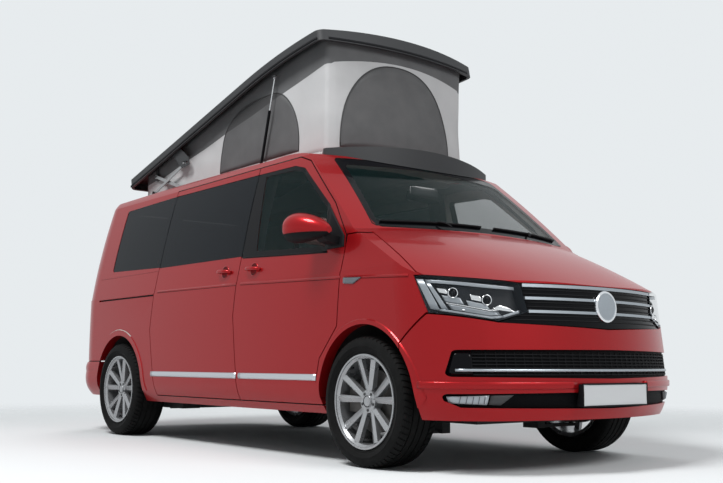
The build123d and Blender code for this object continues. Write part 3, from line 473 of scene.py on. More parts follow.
# Tyres with ribs, shoulder blocks and side rings
TYRE_R, GROOVE, GROOVE_LIP = 0.343, 0.0065, 0.0006
GROOVE_EDGES = (0.066, 0.058, 0.024, 0.016)
HALF_PROFILE = ((0.233, 0.097), (0.24, 0.1015), (0.252, 0.106), (0.256, 0.1105), (0.26, 0.1135),
                (0.264, 0.113), (0.276, 0.1225), (0.288, 0.1262), (0.289, 0.1274), (0.293, 0.1274),
                (0.294, 0.1262), (0.308, 0.124), (0.318, 0.12), (0.326, 0.116))
SHOULDER = ((0.33, 0.113), (0.3345, 0.1085), (0.339, 0.101), (0.3415, 0.093), (0.3428, 0.0855))
BLOCKS, SLOT_END, BLOCK_START, BLOCK_GAP, SLOT_DEPTH = 64, 0.018, 0.022, 0.004, 0.0055
TREAD_ANGLE = 38


def tyre_section():
    """Points (radius, y, blocks) from the outer bead to the inner one; blocks marks the cut shoulders."""
    one = [(r, y, False) for r, y in HALF_PROFILE] + [(r, y, True) for r, y in SHOULDER]
    deep = TYRE_R - GROOVE
    for i, y in enumerate(GROOVE_EDGES):
        if i % 2 == 0:
            one += [(TYRE_R, y + GROOVE_LIP, i == 0), (deep, y, False)]
        else:
            one += [(deep, y, False), (TYRE_R, y - GROOVE_LIP, False)]
    return one + [(r, -y, b) for r, y, b in reversed(one)]


def make_tyre(name, node, body):
    low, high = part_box(node)
    centre = (low + high) / 2
    section = tyre_section()
    size = len(section)
    pitch = 2 * math.pi / BLOCKS
    angles = []
    for block in range(BLOCKS):
        base = block * pitch
        angles += [(base, True), (base + SLOT_END, True), (base + BLOCK_START, False),
                   (base + pitch - BLOCK_GAP, False)]
    verts, faces = [], []
    for angle, slot in angles:
        for r, y, blocks in section:
            turn_by = angle + (abs(y) - GROOVE_EDGES[0] if blocks else 0.0)
            radius = r - SLOT_DEPTH if slot and blocks else r
            verts.append(centre + Vector((radius * math.cos(turn_by), y, radius * math.sin(turn_by))))
    count = len(angles)
    for i in range(count):
        j = (i + 1) % count
        for k in range(size):
            m = (k + 1) % size
            faces.append((i * size + k, i * size + m, j * size + m, j * size + k))
    obj = piece(name, verts, faces, [rubber], body)
    modify(obj, "EDGE_SPLIT", split_angle=math.radians(TREAD_ANGLE))
    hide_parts(node)
    return centre


# Wheels: discs, caps, bolts and valves
WHEEL_Y, DISC_OUT, DISC_R, FACE_OUT, RIM_BEVEL, RIM_EDGE = 0.814, 0.0285, 0.17, 0.082, 0.0022, 25
BOLTS, BOLT_RING, BOLT_START = 5, 0.046, 126
VALVE_RING, VALVE_OUT, VALVE_LEAN = 0.216, 0.078, 0.35
CAP = [(0.0, 0.0085), (0.018, 0.0078), (0.026, 0.0055), (0.0275, 0.0066), (0.0305, 0.0066), (0.032, 0.004),
       (0.033, -0.004)]
BOLT = [(0.0, 0.004), (0.007, 0.004), (0.0085, 0.0025), (0.0085, -0.003)]
VALVE = [(0.0, 0.03), (0.0035, 0.03), (0.004, 0.022), (0.0055, 0.02), (0.0055, 0.0)]
for corner in CORNERS:
    body = "wheel_" + corner
    way = 1 if corner.endswith("left") else -1
    middle = make_tyre("tyre_tread_" + corner, "tyre_" + corner, body)
    finish_node("rim_" + corner, alloy, iron, pocket)

    def disc_face(spot, normal):
        return spot.y * way - WHEEL_Y < DISC_OUT and math.hypot(spot.x - middle.x, spot.z - middle.z) < DISC_R

    paint_faces("rim_" + corner, 1, disc_face)
    modify(nodes["rim_" + corner], "BEVEL", width=RIM_BEVEL, segments=2, limit_method="ANGLE",
           angle_limit=math.radians(RIM_EDGE), harden_normals=False)
    face_y = way * (WHEEL_Y + FACE_OUT)
    turned("wheel_cap_" + corner, CAP, (middle.x, face_y, middle.z), (0, way, 0), body,
           [alloy, black_gloss], picks=[0, 0, 1, 1, 0, 0])
    for bolt in range(BOLTS):
        angle = math.radians(BOLT_START + 360 / BOLTS * bolt)
        spot = (middle.x + BOLT_RING * math.cos(angle), face_y, middle.z + BOLT_RING * math.sin(angle))
        turned("wheel_bolt_%d_%s" % (bolt, corner), BOLT, spot, (0, way, 0), body, [pocket], count=6)
    angle = math.radians(BOLT_START)
    spot = (middle.x + VALVE_RING * math.cos(angle), way * (WHEEL_Y + VALVE_OUT),
            middle.z + VALVE_RING * math.sin(angle))
    axis = (-VALVE_LEAN * math.cos(angle), way, -VALVE_LEAN * math.sin(angle))
    turned("wheel_valve_" + corner, VALVE, spot, axis, body, [black_trim], count=10)

# Fabric tent: one sheet round the plan, with the dark upper band, then the half oval windows
TENT_BACK, TENT_FRONT, TENT_BOW, TENT_HALF, TENT_CORNER = -1.746, 0.744, 0.066, 0.594, 0.046
BOW_R = (TENT_HALF ** 2 + TENT_BOW ** 2) / (2 * TENT_BOW)
BOW_TURN = math.asin((TENT_HALF - 0.03) / BOW_R) * 0.955
REAR_SHARE, CORNER_LEAD = 0.94, 0.003
REAR_STEPS, BACK_STEPS, SIDE_STEPS, TURN_STEPS, BOW_STEPS = 12, 6, 72, 8, 24
LOWER_ROWS, BAND_ROWS = 10, 4
ROW_SPAN = LOWER_ROWS + BAND_ROWS + 1
REAR_X, REAR_SEAM, LEAST_SEAM, SEAM_DROP = -1.6, 0.62, 0.35, 0.012
TOP_FROM, TOP_REACH, TOP_GAP, TOP_ELSE = 1.93, 1.5, 0.004, 2.0
BASE_FROM, BASE_REACH, BASE_GAP, BASE_ELSE = 1.98, 0.4, 0.003, 1.86
BAND_SIDE, BAND_SIDE_Z, BAND_SIDE_X, BAND_SLOPE = 0.05, 2.201, 0.496, 0.19
BAND_FRONT_Z, BAND_ARCH = 2.436, 0.068
FOLD_DEPTH, SAG_DEPTH, SAG_HEIGHT, WINDOW_OUT = 0.0035, 0.01, 0.5, 0.003
LID = tree("roof_lid")
ROOF = tree("body_shell")


def bowed(a):
    """A plan point and its normal on the tent's bowed front."""
    spot = Vector((TENT_FRONT + TENT_BOW - BOW_R * (1 - math.cos(a)), BOW_R * math.sin(a), 0))
    return spot, Vector((math.cos(a), math.sin(a), 0))


def tent_plan():
    """Plan points with outward normals, all the way round from the middle of the rear."""
    half = []
    for i in range(REAR_STEPS + 1):
        half.append((Vector((TENT_BACK, TENT_HALF * REAR_SHARE * i / REAR_STEPS, 0)), Vector((-1, 0, 0))))
    for i in range(1, BACK_STEPS):
        a = math.pi / 2 * i / BACK_STEPS
        inset = TENT_CORNER * (1 - math.sin(a))
        half.append((Vector((TENT_BACK + inset, TENT_HALF - inset, 0)),
                     Vector((-math.cos(a), math.sin(a), 0))))
    for i in range(SIDE_STEPS + 1):
        x = TENT_BACK + TENT_CORNER + (TENT_FRONT - 2 * TENT_CORNER - TENT_BACK) * (i / SIDE_STEPS)
        half.append((Vector((x, TENT_HALF, 0)), Vector((0, 1, 0))))
    for i in range(1, TURN_STEPS):
        a = math.pi / 2 * i / TURN_STEPS
        x = TENT_FRONT - TENT_CORNER * (1 - math.sin(a)) + CORNER_LEAD
        half.append((Vector((x, TENT_HALF - TENT_CORNER * (1 - math.cos(a)), 0)),
                     Vector((math.sin(a), math.cos(a), 0))))
    half += [bowed(BOW_TURN * (1 - i / BOW_STEPS)) for i in range(BOW_STEPS + 1)]
    mirror = [(Vector((p.x, -p.y, 0)), Vector((n.x, -n.y, 0))) for p, n in reversed(half[1:-1])]
    return half + mirror


def tent_top(spot):
    hit = LID.ray_cast(Vector((spot.x, spot.y, TOP_FROM)), UP, TOP_REACH)[0]
    return hit.z - TOP_GAP if hit else TOP_ELSE


def tent_base(spot):
    hit = ROOF.ray_cast(Vector((spot.x, spot.y, BASE_FROM)), -UP, BASE_REACH)[0]
    return hit.z + BASE_GAP if hit else BASE_ELSE


def band_line(spot):
    """The height of the lower edge of the dark band."""
    if abs(spot.y) > TENT_HALF - BAND_SIDE:
        return BAND_SIDE_Z + BAND_SLOPE * (spot.x + BAND_SIDE_X)
    return BAND_FRONT_Z + BAND_ARCH * (1 - (spot.y / TENT_HALF) ** 2)


def sagged(spot, normal, share, height):
    """Cloth pulls in a little between its upper and lower edge, with soft creases."""
    crease = FOLD_DEPTH * math.sin(9.0 * spot.x + 4.0 * share) * math.sin(7.0 * spot.y + 9.0 * share)
    inward = SAG_DEPTH * math.sin(math.pi * share) * min(1.0, height / SAG_HEIGHT)
    return Vector((spot.x, spot.y, 0)) - normal * (inward + crease * math.sin(math.pi * share))


def row_heights(base, seam, top):
    """Heights of a column's points, up to the seam and on through the band."""
    lower = [base + (seam - base) * row / LOWER_ROWS for row in range(LOWER_ROWS + 1)]
    return lower + [seam + (top - seam) * row / BAND_ROWS for row in range(1, BAND_ROWS + 1)]


def banded(name, verts, columns, mats, thick, closed=False):
    """A thin sheet of columns of points, its upper rows in the second finish."""
    faces = grid_faces(columns, ROW_SPAN, closed)
    picks = ([0] * LOWER_ROWS + [1] * BAND_ROWS) * columns
    obj = piece(name, verts, faces, mats, "van", picks=picks)
    area = sum(face.area for face in obj.data.polygons)
    return modify(obj, "SOLIDIFY", thickness=thick, offset=0.0), area


plan = tent_plan()
verts = []
for spot, normal in plan:
    base, top = tent_base(spot), tent_top(spot)
    seam = min(max(band_line(spot), base + LEAST_SEAM * (top - base)), top - SEAM_DROP)
    if spot.x < REAR_X:
        seam = base + REAR_SEAM * (top - base)
    for z in row_heights(base, seam, top):
        place = sagged(spot, normal, (z - base) / (top - base), top - base)
        verts.append(Vector((place.x, place.y, z)))
tent, tent_area = banded("tent_sheet", verts, len(plan), [cloth, band_cloth], 0.0012, closed=True)


def half_oval(left, right, peak, base, top, power_left, power_right, count=48):
    """The outline of a half oval window: place along the wall, base height, top height."""
    made = []
    for i in range(count + 1):
        a = math.pi * i / count
        u = peak - (peak - left if a <= math.pi / 2 else right - peak) * math.cos(a)
        reach = (peak - u) / (peak - left) if u < peak else (u - peak) / (right - peak)
        power = power_left if u < peak else power_right
        made.append((u, base, base + (top - base) * max(0.0, 1 - min(1.0, reach) ** power) ** (1 / power)))
    return made


def tent_wall(u, z, wall):
    """A place just outside the tent's cloth: wall 1 or -1 for a side, 0 for the front."""
    if wall:
        spot, normal = Vector((u, wall * TENT_HALF, 0)), Vector((0, wall, 0))
    else:
        spot, normal = bowed(math.asin(u / BOW_R))
    base, top = tent_base(spot), tent_top(spot)
    place = sagged(spot, normal, (z - base) / (top - base), top - base) + normal * WINDOW_OUT
    return Vector((place.x, place.y, z)), normal


PIPE_R, PIPE_SIDES, PIPE_OUT = 0.0035, 6, 0.0005
PIPE_TURNS = [2 * math.pi * i / PIPE_SIDES for i in range(PIPE_SIDES)]
PIPE = [(PIPE_R * math.cos(a), PIPE_OUT + PIPE_R * math.sin(a)) for a in PIPE_TURNS]
HEM_STEP, HEM_COUNT, HEM_INSET, HEM_Z = 0.06, 41, 0.05, 0.012
SIDE_WINDOW = half_oval(-0.56, 0.44, 0.105, 1.912, 2.367, 3.0, 2.1)
FRONT_WINDOW = half_oval(-0.5, 0.42, -0.06, 1.9, 2.484, 2.3, 2.3)
tent_trim = []
for side, wall, outline in (("right", -1, SIDE_WINDOW), ("left", 1, SIDE_WINDOW), ("front", 0, FRONT_WINDOW)):
    name = "tent_window_" + side
    verts = []
    for u, base, top in outline:
        spot = Vector((u, wall * TENT_HALF, 0)) if wall else Vector((0.8, u, 0))
        seam = min(max(band_line(spot), base), top)
        verts += [tent_wall(u, z, wall)[0] for z in row_heights(base, seam, top)]
    panel, _ = banded(name, verts, len(outline), [window_mesh, window_dark], 0.001)
    rim_path = [tent_wall(u, top, wall) for u, base, top in outline]
    tent_trim += [panel, sweep(name + "_seam", rim_path, PIPE, window_dark)]
for side, way in SIDES:
    path = []
    for u in [TENT_BACK + HEM_INSET + i * HEM_STEP for i in range(HEM_COUNT)]:
        path.append(tent_wall(u, tent_base(Vector((u, way * TENT_HALF, 0))) + HEM_Z, way))
    tent_trim.append(sweep("tent_hem_" + side, path, strip_profile(0.02, 0.003), cloth))
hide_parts("roof_tent")

# Black lower rim of the lid
HEAD, TILT = Vector((-1.545, 0, 2.033)), math.radians(12.23)
LID_BOW, LID_FRONT, LID_BACK, LID_HALF, LID_MIDDLE = 0.092, 2.376, -0.38, 0.672, 1.0
LID_KNEE, LID_TIP, LID_TAIL, EDGE_FLOOR = 1.5, 2.536, -0.44, 0.022
EDGE_RISE, EDGE_DROP, KNEE_RISE, CURVE_RISE, TIP_DROP = 0.058, 0.002, 0.056, 0.044, 0.016
CURVE_BEND, CURVE_PEAK, RIM_RISE = 1.92, 3.99, 0.015
RIM_SIDE, RIM_FRONT, RIM_REAR, FRONT_SHARE, BACK_SHARE = 60, 24, 12, 0.985, 0.96


def lid_place(x, y, z):
    """A place given in the lid's own frame (metres from its rear pin)."""
    cos, sin = math.cos(TILT), math.sin(TILT)
    return HEAD + Vector((x * cos - z * sin, y, x * sin + z * cos))


def lid_edge(x):
    """The height of the lid's lower edge: straight, then curved from the knee to the tip."""
    if x < LID_KNEE:
        return EDGE_FLOOR - EDGE_DROP + EDGE_RISE * (x - LID_TAIL) / (LID_KNEE - LID_TAIL)
    t = (x - LID_KNEE) / (LID_TIP - LID_KNEE)
    curve = KNEE_RISE * (1 - t) * (1 - CURVE_BEND * t) + CURVE_RISE * t * (1 - t) * CURVE_PEAK
    return EDGE_FLOOR + curve - TIP_DROP * t * (CURVE_BEND * t - CURVE_BEND + 1)


outline = []
for i in range(RIM_SIDE):
    outline.append((LID_BACK + 0.03 + (LID_FRONT - 0.06 - LID_BACK) * i / (RIM_SIDE - 1), LID_HALF))
for i in range(1, RIM_FRONT):
    y = LID_HALF * (1 - 2 * i / RIM_FRONT) * FRONT_SHARE
    outline.append((LID_FRONT + LID_BOW * (1 - (y / LID_HALF) ** 2), y))
outline += [(x, -y) for x, y in reversed(outline[:RIM_SIDE])]
for i in range(1, RIM_REAR):
    outline.append((LID_BACK, LID_HALF * BACK_SHARE * (2 * i / RIM_REAR - 1)))
path = []
for i, (x, y) in enumerate(outline):
    before, after = outline[i - 1], outline[(i + 1) % len(outline)]
    normal = Vector((-(after[1] - before[1]), after[0] - before[0], 0)).normalized()
    if normal.dot(Vector((x - LID_MIDDLE, y, 0))) < 0:
        normal = -normal
    tilted = Vector((normal.x * math.cos(TILT), normal.y, normal.x * math.sin(TILT)))
    path.append((lid_place(x, y, lid_edge(x) + RIM_RISE), tilted))
sweep("lid_rim_seal", path, flat_profile(0.008, -0.012, 0.002), black_trim, "lid", closed=True)

# Patches set on the body's surface
BORDER_THICK, BORDER_LIFT = 0.0006, 0.0004


def patch(name, corners, caster, lift, thick, mat, across, along, body="van"):
    """A thin sheet over a four-cornered field of the body, lifted off its surface."""
    a, b, c, d = [Vector(p) for p in corners]
    verts = []
    for i in range(across + 1):
        low, high = a.lerp(b, i / across), d.lerp(c, i / across)
        for j in range(along + 1):
            spot, normal = caster(*low.lerp(high, j / along))
            verts.append(spot + normal * lift)
    obj = piece(name, verts, grid_faces(across + 1, along + 1), [mat], body)
    return modify(obj, "SOLIDIFY", thickness=thick, offset=0.0)


def band(name, outer, inner, caster, body, step):
    """A closed black border between two outlines with like corners, on the body's surface."""
    verts, faces = [], []
    count = len(outer)
    for i in range(count):
        j = (i + 1) % count
        parts = max(1, round(math.dist(outer[i], outer[j]) / step))
        for k in range(parts):
            for line in (outer, inner):
                spot, normal = caster(*[u + (v - u) * (k / parts) for u, v in zip(line[i], line[j])])
                verts.append(spot + normal * BORDER_LIFT)
    total = len(verts) // 2
    for i in range(total):
        j = (i + 1) % total
        faces.append((2 * i, 2 * j, 2 * j + 1, 2 * i + 1))
    obj = piece(name, verts, faces, [black_gloss], body, smooth=False)
    return modify(obj, "SOLIDIFY", thickness=BORDER_THICK, offset=0.0)


def mirrored(points, way):
    """Points (y, z) of the left side, or their mirror on the right."""
    return [(way * y, z) for y, z in points]


# Headlamps: clear lens faces, then frames, reflectors and projector units behind them
finish_node("headlamps", lamp_black, lens)
paint_faces("headlamps", 1, lambda spot, normal: normal.x > 0.35 or normal.y * math.copysign(1, spot.y) > 0.6)
LAMPS = tree("headlamps")
OUT_TOP, OUT_LOW = Vector((1.948, 0.924, 0.966)), Vector((2.04, 0.9, 0.8))
IN_LOW, IN_TOP = Vector((2.322, 0.545, 0.79)), Vector((2.3, 0.556, 0.926))
LAMP_DIP, LAMP_DIP_AT = 0.04, 0.66


def lamp_at(u, v, way):
    """A place on the lens: u from its outer to its inner end, v from its lower to its upper edge."""
    low = OUT_LOW.lerp(IN_LOW, u)
    low.z -= LAMP_DIP * max(0.0, 1 - abs(u - LAMP_DIP_AT) / LAMP_DIP_AT)
    spot = low.lerp(OUT_TOP.lerp(IN_TOP, u), v)
    spot.y *= way
    look = Vector((-0.8, -0.6 * way, 0))
    hit, normal, _, _ = LAMPS.ray_cast(spot - look * 0.4, look, 1.0)
    if hit is None:
        return spot, -look
    return hit, normal if normal.dot(look) < 0 else -normal


def lamp_caster(way):
    return lambda u, v: lamp_at(u, v, way)


LAMP_FIELDS = (
    ("outer_frame", ((0.006, 0.06), (0.105, 0.04), (0.07, 0.97), (0.004, 0.97)), 0.008, lamp_grey),
    ("inner_frame", ((0.13, 0.06), (0.2, 0.06), (0.115, 0.9), (0.078, 0.9)), 0.014, lamp_grey),
    ("top_frame", ((0.09, 0.87), (0.97, 0.86), (0.97, 0.955), (0.08, 0.965)), 0.012, lamp_grey),
    ("lower_frame", ((0.1, 0.035), (0.8, 0.035), (0.8, 0.095), (0.1, 0.095)), 0.01, lamp_grey),
    ("tip_frame", ((0.8, 0.035), (0.985, 0.13), (0.985, 0.22), (0.8, 0.1)), 0.01, lamp_grey),
    ("tray", ((0.235, 0.115), (0.79, 0.115), (0.76, 0.235), (0.215, 0.285)), 0.026, lamp_grey),
    ("tray_lip", ((0.205, 0.295), (0.765, 0.24), (0.765, 0.262), (0.2, 0.32)), 0.014, lamp_bright),
    ("bright_wedge", ((0.7, 0.3), (0.975, 0.15), (0.86, 0.33), (0.79, 0.41)), 0.016, lamp_bright),
    ("bulb_plate_a", ((0.16, 0.6), (0.255, 0.585), (0.25, 0.735), (0.15, 0.745)), 0.03, lamp_bright),
    ("bulb_plate_b", ((0.5, 0.505), (0.61, 0.49), (0.61, 0.64), (0.495, 0.655)), 0.03, lamp_bright),
    ("bowl_a", ((0.19, 0.35), (0.4, 0.33), (0.38, 0.52), (0.18, 0.54)), 0.034, lamp_grey),
    ("bowl_b", ((0.45, 0.3), (0.69, 0.28), (0.66, 0.44), (0.44, 0.47)), 0.034, lamp_grey),
)
PROJECTOR = [(0.0, 0.012), (0.01, 0.0105), (0.018, 0.006), (0.0225, 0.0), (0.0235, 0.003), (0.0265, 0.003),
             (0.028, -0.012), (0.02, -0.016)]
PROJECTORS, PROJECTOR_DEPTH = ((0.315, 0.64), (0.675, 0.555)), 0.03
MARKER_BULB = [(0.0, 0.009), (0.005, 0.0075), (0.009, 0.0), (0.009, -0.008)]
MARKER_AT, MARKER_DEPTH = (0.37, 0.165), 0.022
for side, way in SIDES:
    for part, field, depth, mat in LAMP_FIELDS:
        patch("headlamp_%s_%s" % (part, side), field, lamp_caster(way), -depth, 0.003, mat, 10, 4)
    for unit, (u, v) in enumerate(PROJECTORS):
        spot, normal = lamp_at(u, v, way)
        look = Vector((0.93, 0.36 * way, 0)).normalized()
        turned("headlamp_projector_%d_%s" % (unit, side), PROJECTOR, spot - normal * PROJECTOR_DEPTH, look,
               "van", [black_gloss, chrome], count=28, picks=[0, 0, 0, 1, 1, 1, 1])
    spot, normal = lamp_at(*MARKER_AT, way)
    turned("headlamp_marker_bulb_" + side, MARKER_BULB, spot - normal * MARKER_DEPTH, normal, "van",
           [lamp_bright], count=16)

# Grille: slats, the blank disc, then the lower intake with its strip, fog lamps and plate frame
GRILLE_SLATS = ((0.908, 0.52), (0.888, 0.515), (0.845, 0.505), (0.823, 0.5), (0.778, 0.56), (0.757, 0.6))
DISC = [(0.0, 0.012), (0.06, 0.0115), (0.068, 0.0095), (0.071, 0.012), (0.08, 0.012), (0.083, 0.007),
        (0.083, -0.006)]
DISC_Z, DISC_LEAD, DISC_AXIS = 0.836, Vector((0.003, 0, 0)), (1, 0, 0.06)
INTAKE_LOW, INTAKE_STEP, INTAKE_HALF, INTAKE_SLATS = 0.487, 0.0165, 0.8, 7
BAR_LOW, BAR_HIGH, BAR_START, BAR_STEP, BARS = 0.482, 0.598, -0.72, 0.045, 33
BRIGHT_Z, BRIGHT_HALF, BRIGHT_GAP_Z, BRIGHT_GAP = 0.509, 0.835, 0.508, 0.011
INTAKE_END = ((0.775, 0.485), (0.862, 0.486), (0.838, 0.598), (0.775, 0.6))
FOG_LAMP = ((0.715, 0.346), (0.845, 0.354), (0.858, 0.384), (0.712, 0.39))
FOG_SURROUND = ((0.655, 0.344), (0.708, 0.346), (0.706, 0.39), (0.6, 0.392))
FOG_RIBS, RIB_START, RIB_STEP, RIB_LOW, RIB_HIGH = 5, 0.728, 0.022, 0.35, 0.386
PLATE_FRAME = [(-0.26, 0.332), (0.26, 0.332), (0.26, 0.442), (-0.26, 0.442), (-0.26, 0.332)]
for row, (z, half) in enumerate(GRILLE_SLATS):
    trim("grille_slat_%d" % row, [(-half, z), (half, z)], on_front, 0.04, strip_profile(0.007, 0.004, 0.003),
         black_trim)
spot, normal = on_front(0.0, DISC_Z)
turned("grille_blank_disc", DISC, spot + DISC_LEAD, DISC_AXIS, "van", [strip_metal, chrome],
       count=56, picks=[0, 0, 0, 1, 1, 1])
for row in range(INTAKE_SLATS):
    z = INTAKE_LOW + INTAKE_STEP * row
    if abs(z - BRIGHT_GAP_Z) < BRIGHT_GAP:
        continue
    trim("intake_slat_%d" % row, [(-INTAKE_HALF, z), (INTAKE_HALF, z)], on_front, 0.04,
         strip_profile(0.006, 0.006, 0.004), black_trim)
for column in range(BARS):
    y = BAR_START + BAR_STEP * column
    trim("intake_bar_%d" % column, [(y, BAR_LOW), (y, BAR_HIGH)], on_front, 0.02,
         strip_profile(0.005, 0.0045, 0.004), black_trim)
trim("intake_bright_strip", [(-BRIGHT_HALF, BRIGHT_Z), (BRIGHT_HALF, BRIGHT_Z)], on_front, 0.03,
     strip_profile(0.015, 0.011, 0.004), strip_metal)
for side, way in SIDES:
    patch("intake_end_" + side, mirrored(INTAKE_END, way), on_front, 0.004, 0.004, black_gloss, 5, 4)
    patch("fog_lamp_" + side, mirrored(FOG_LAMP, way), on_front, 0.006, 0.006, lamp_grey, 8, 3)
    for bar in range(FOG_RIBS):
        y = way * (RIB_START + RIB_STEP * bar)
        trim("fog_rib_%d_%s" % (bar, side), [(y, RIB_LOW), (y, RIB_HIGH)], on_front, 0.01,
             strip_profile(0.005, 0.013, 0.0, 0.5), marker_grey)
    patch("fog_surround_" + side, mirrored(FOG_SURROUND, way), on_front, 0.005, 0.006, moulded, 5, 3)
finish_node("front_plate", white_plate, black_trim)
paint_faces("front_plate", 1, lambda spot, normal: normal.x < 0.9)
plate_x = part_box("front_plate")[1].x + 0.0005
path = [(Vector((plate_x, y, z)), Vector((1, 0, 0))) for y, z in run(PLATE_FRAME, 0.05)[:-1]]
sweep("plate_frame", path, flat_profile(0.004, -0.004, 0.003), black_trim, closed=True, smooth=False)

# Side trim: bright strips, creases, the bumper's ridge and handles
STRIP_Z = 0.463
STRIPS = (("strip_front_left", 1, 0.309, 1.141, "left_door"), ("strip_rear_left", 1, -0.905, 0.277, "van"),
          ("strip_front_right", -1, 0.309, 1.141, "right_door"),
          ("strip_slider_right", -1, -0.905, 0.277, "van"))
for name, way, back, front, body in STRIPS:
    trim(name, [(back, STRIP_Z), (front, STRIP_Z)], side_caster(way), 0.04,
         strip_profile(0.036, 0.006, 0.002, 0.6), satin, body)
CREASE_LINE = ((-0.86, 1.05), (0.29, 1.038), (1.37, 1.008), (1.925, 0.982))
CREASES = (("slider", -1, -0.845, 0.258, "van"), ("panel", 1, -0.845, 0.258, "van"),
           ("door_left", 1, 0.312, 1.36, "left_door"), ("door_right", -1, 0.312, 1.36, "right_door"),
           ("wing_left", 1, 1.395, 1.915, "van"), ("wing_right", -1, 1.395, 1.915, "van"))
CREASE_STEPS, SHADE_DROP = 24, 0.01
CREASE = [(-0.008, -0.001), (0.0, 0.0035), (0.008, -0.001)]


def crease_z(x):
    for (a, low), (b, high) in zip(CREASE_LINE, CREASE_LINE[1:]):
        if x <= b:
            break
    return low + (high - low) * (x - a) / (b - a)


for name, way, back, front, body in CREASES:
    places = [back + (front - back) * i / CREASE_STEPS for i in range(CREASE_STEPS + 1)]
    sweep("crease_" + name, [on_side(x, crease_z(x), way) for x in places], CREASE, paint, body,
          smooth=False)
    # A thin line of shade paint just below each crease is a painted shadow under it.
    sweep("crease_shade_" + name, [on_side(x, crease_z(x) - SHADE_DROP, way) for x in places],
          flat_profile(0.0022, -0.001, 0.0005), dark_paint, body, smooth=False)
RIDGE_Z, RIDGE_START, RIDGE_TURN, RIDGE_END, RIDGE_STEPS = 0.437, 0.275, 0.87, 1.985, 7
RIDGE = [(-0.019, -0.004), (-0.017, 0.007), (-0.013, 0.01), (0.013, 0.01), (0.017, 0.007), (0.019, -0.004)]
for side, way in SIDES:
    path = traced([(way * RIDGE_START, RIDGE_Z), (way * RIDGE_TURN, RIDGE_Z)], on_front, 0.03)
    corner = path[-1][0].x - 0.02
    for i in range(RIDGE_STEPS + 1):
        path.append(on_side(corner + (RIDGE_END - corner) * i / RIDGE_STEPS, RIDGE_Z, way))
    sweep("bumper_ridge_" + side, path, RIDGE, paint)
HANDLES = (("left_door", 1, 0.452, 1.118), ("right_door", -1, 0.452, 1.118), ("van", -1, 0.1, 1.124))
HANDLE_CUP = [(0.0, 0.0012), (0.03, 0.0012), (0.038, 0.0022), (0.042, 0.0018), (0.044, -0.002)]
HANDLE_BAR = [(-0.011, -0.003), (-0.012, 0.002), (-0.008, 0.007), (0.0, 0.0085), (0.008, 0.007),
              (0.012, 0.002), (0.011, -0.003), (0.0, -0.006)]
HANDLE_HALF, HANDLE_DROP, HANDLE_RISE, HANDLE_FOOT, HANDLE_STEPS = 0.078, 0.004, 0.03, 0.004, 16
for index, (body, way, x, z) in enumerate(HANDLES):
    spot, normal = on_side(x, z, way)
    # The cup's inner hollow is in shade paint, painted shade in the recess behind the handle; its rim is body
    # paint.
    turned("handle_cup_%d" % index, HANDLE_CUP, spot, normal, body, [dark_paint, paint], count=40,
           picks=[0, 0, 1, 1])
    path = []
    for i in range(HANDLE_STEPS + 1):
        s = 2 * i / HANDLE_STEPS - 1
        rise = HANDLE_RISE * (1 - s ** 4) + HANDLE_FOOT
        path.append((spot + Vector((HANDLE_HALF * s, 0, -HANDLE_DROP * s)) + normal * rise, normal))
    sweep("handle_bar_%d" % index, path, HANDLE_BAR, paint, body,
          taper=lambda s: 0.72 + 0.28 * (1 - (2 * s - 1) ** 2))

# Front doors: glass borders, mirror corners, belt seals, marker lamps and mirrors
GLASS_X, GLASS_Z, GLASS_LEAN = 0.282, 1.194, 0.0738


def b_line(z):
    """The place of the door glass's rear edge."""
    return GLASS_X + (z - GLASS_Z) * GLASS_LEAN


DOOR_OUTER = ((b_line(1.206) + 0.006, 1.207), (b_line(1.744) + 0.006, 1.743), (0.744, 1.737), (0.854, 1.707),
              (1.193, 1.431), (1.213, 1.164))
DOOR_INNER = ((0.452, 1.232), (0.416, 1.716), (0.734, 1.71), (0.838, 1.682), (1.164, 1.418), (1.182, 1.194))
MIRROR_CORNER = ((1.2, 1.172), (1.37, 1.176), (1.366, 1.236), (1.184, 1.436))
BELT_LINE = [(b_line(1.2) + 0.02, 1.203), (1.213, 1.16)]
SIDE_MARKER = ((1.392, 0.97), (1.478, 0.964), (1.548, 0.994), (1.392, 1.002))
MIRROR_Y, MIRROR_Z, MIRROR_WIDE, MIRROR_HIGH, MIRROR_POWER = 1.064, 1.288, 0.07, 0.068, 0.75
MIRROR_STEPS, MIRROR_FOOT_Z = 40, 1.2545


def squared(value):
    """Squares a circle's sine or cosine out."""
    return math.copysign(abs(value) ** MIRROR_POWER, value)


for side, way in SIDES:
    body = side + "_door"
    caster = side_caster(way)
    band("door_frit_" + side, DOOR_OUTER, DOOR_INNER, caster, body, 0.05)
    patch("mirror_corner_" + side, MIRROR_CORNER, caster, 0.0015, 0.004, black_trim, 6, 8, body)
    trim("belt_seal_" + side, BELT_LINE, caster, 0.05, strip_profile(0.012, 0.004), black_trim, body)
    patch("side_marker_" + side, SIDE_MARKER, caster, 0.003, 0.005, marker_grey, 8, 4)
    finish_node("mirror_" + side, paint, black_trim)
    paint_faces("mirror_" + side, 1, lambda spot, normal: spot.z < MIRROR_FOOT_Z)
    mirror_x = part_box("mirror_" + side)[0].x - 0.0008
    ring = []
    for i in range(MIRROR_STEPS):
        a = 2 * math.pi * i / MIRROR_STEPS
        ring.append((mirror_x, way * (MIRROR_Y + MIRROR_WIDE * squared(math.cos(a))),
                     MIRROR_Z + MIRROR_HIGH * squared(math.sin(a))))
    fan = [(i, (i + 1) % MIRROR_STEPS, MIRROR_STEPS) for i in range(MIRROR_STEPS)]
    ring.append((mirror_x - 0.002, way * MIRROR_Y, MIRROR_Z))
    piece("mirror_glass_" + side, ring, fan, [chrome], body)

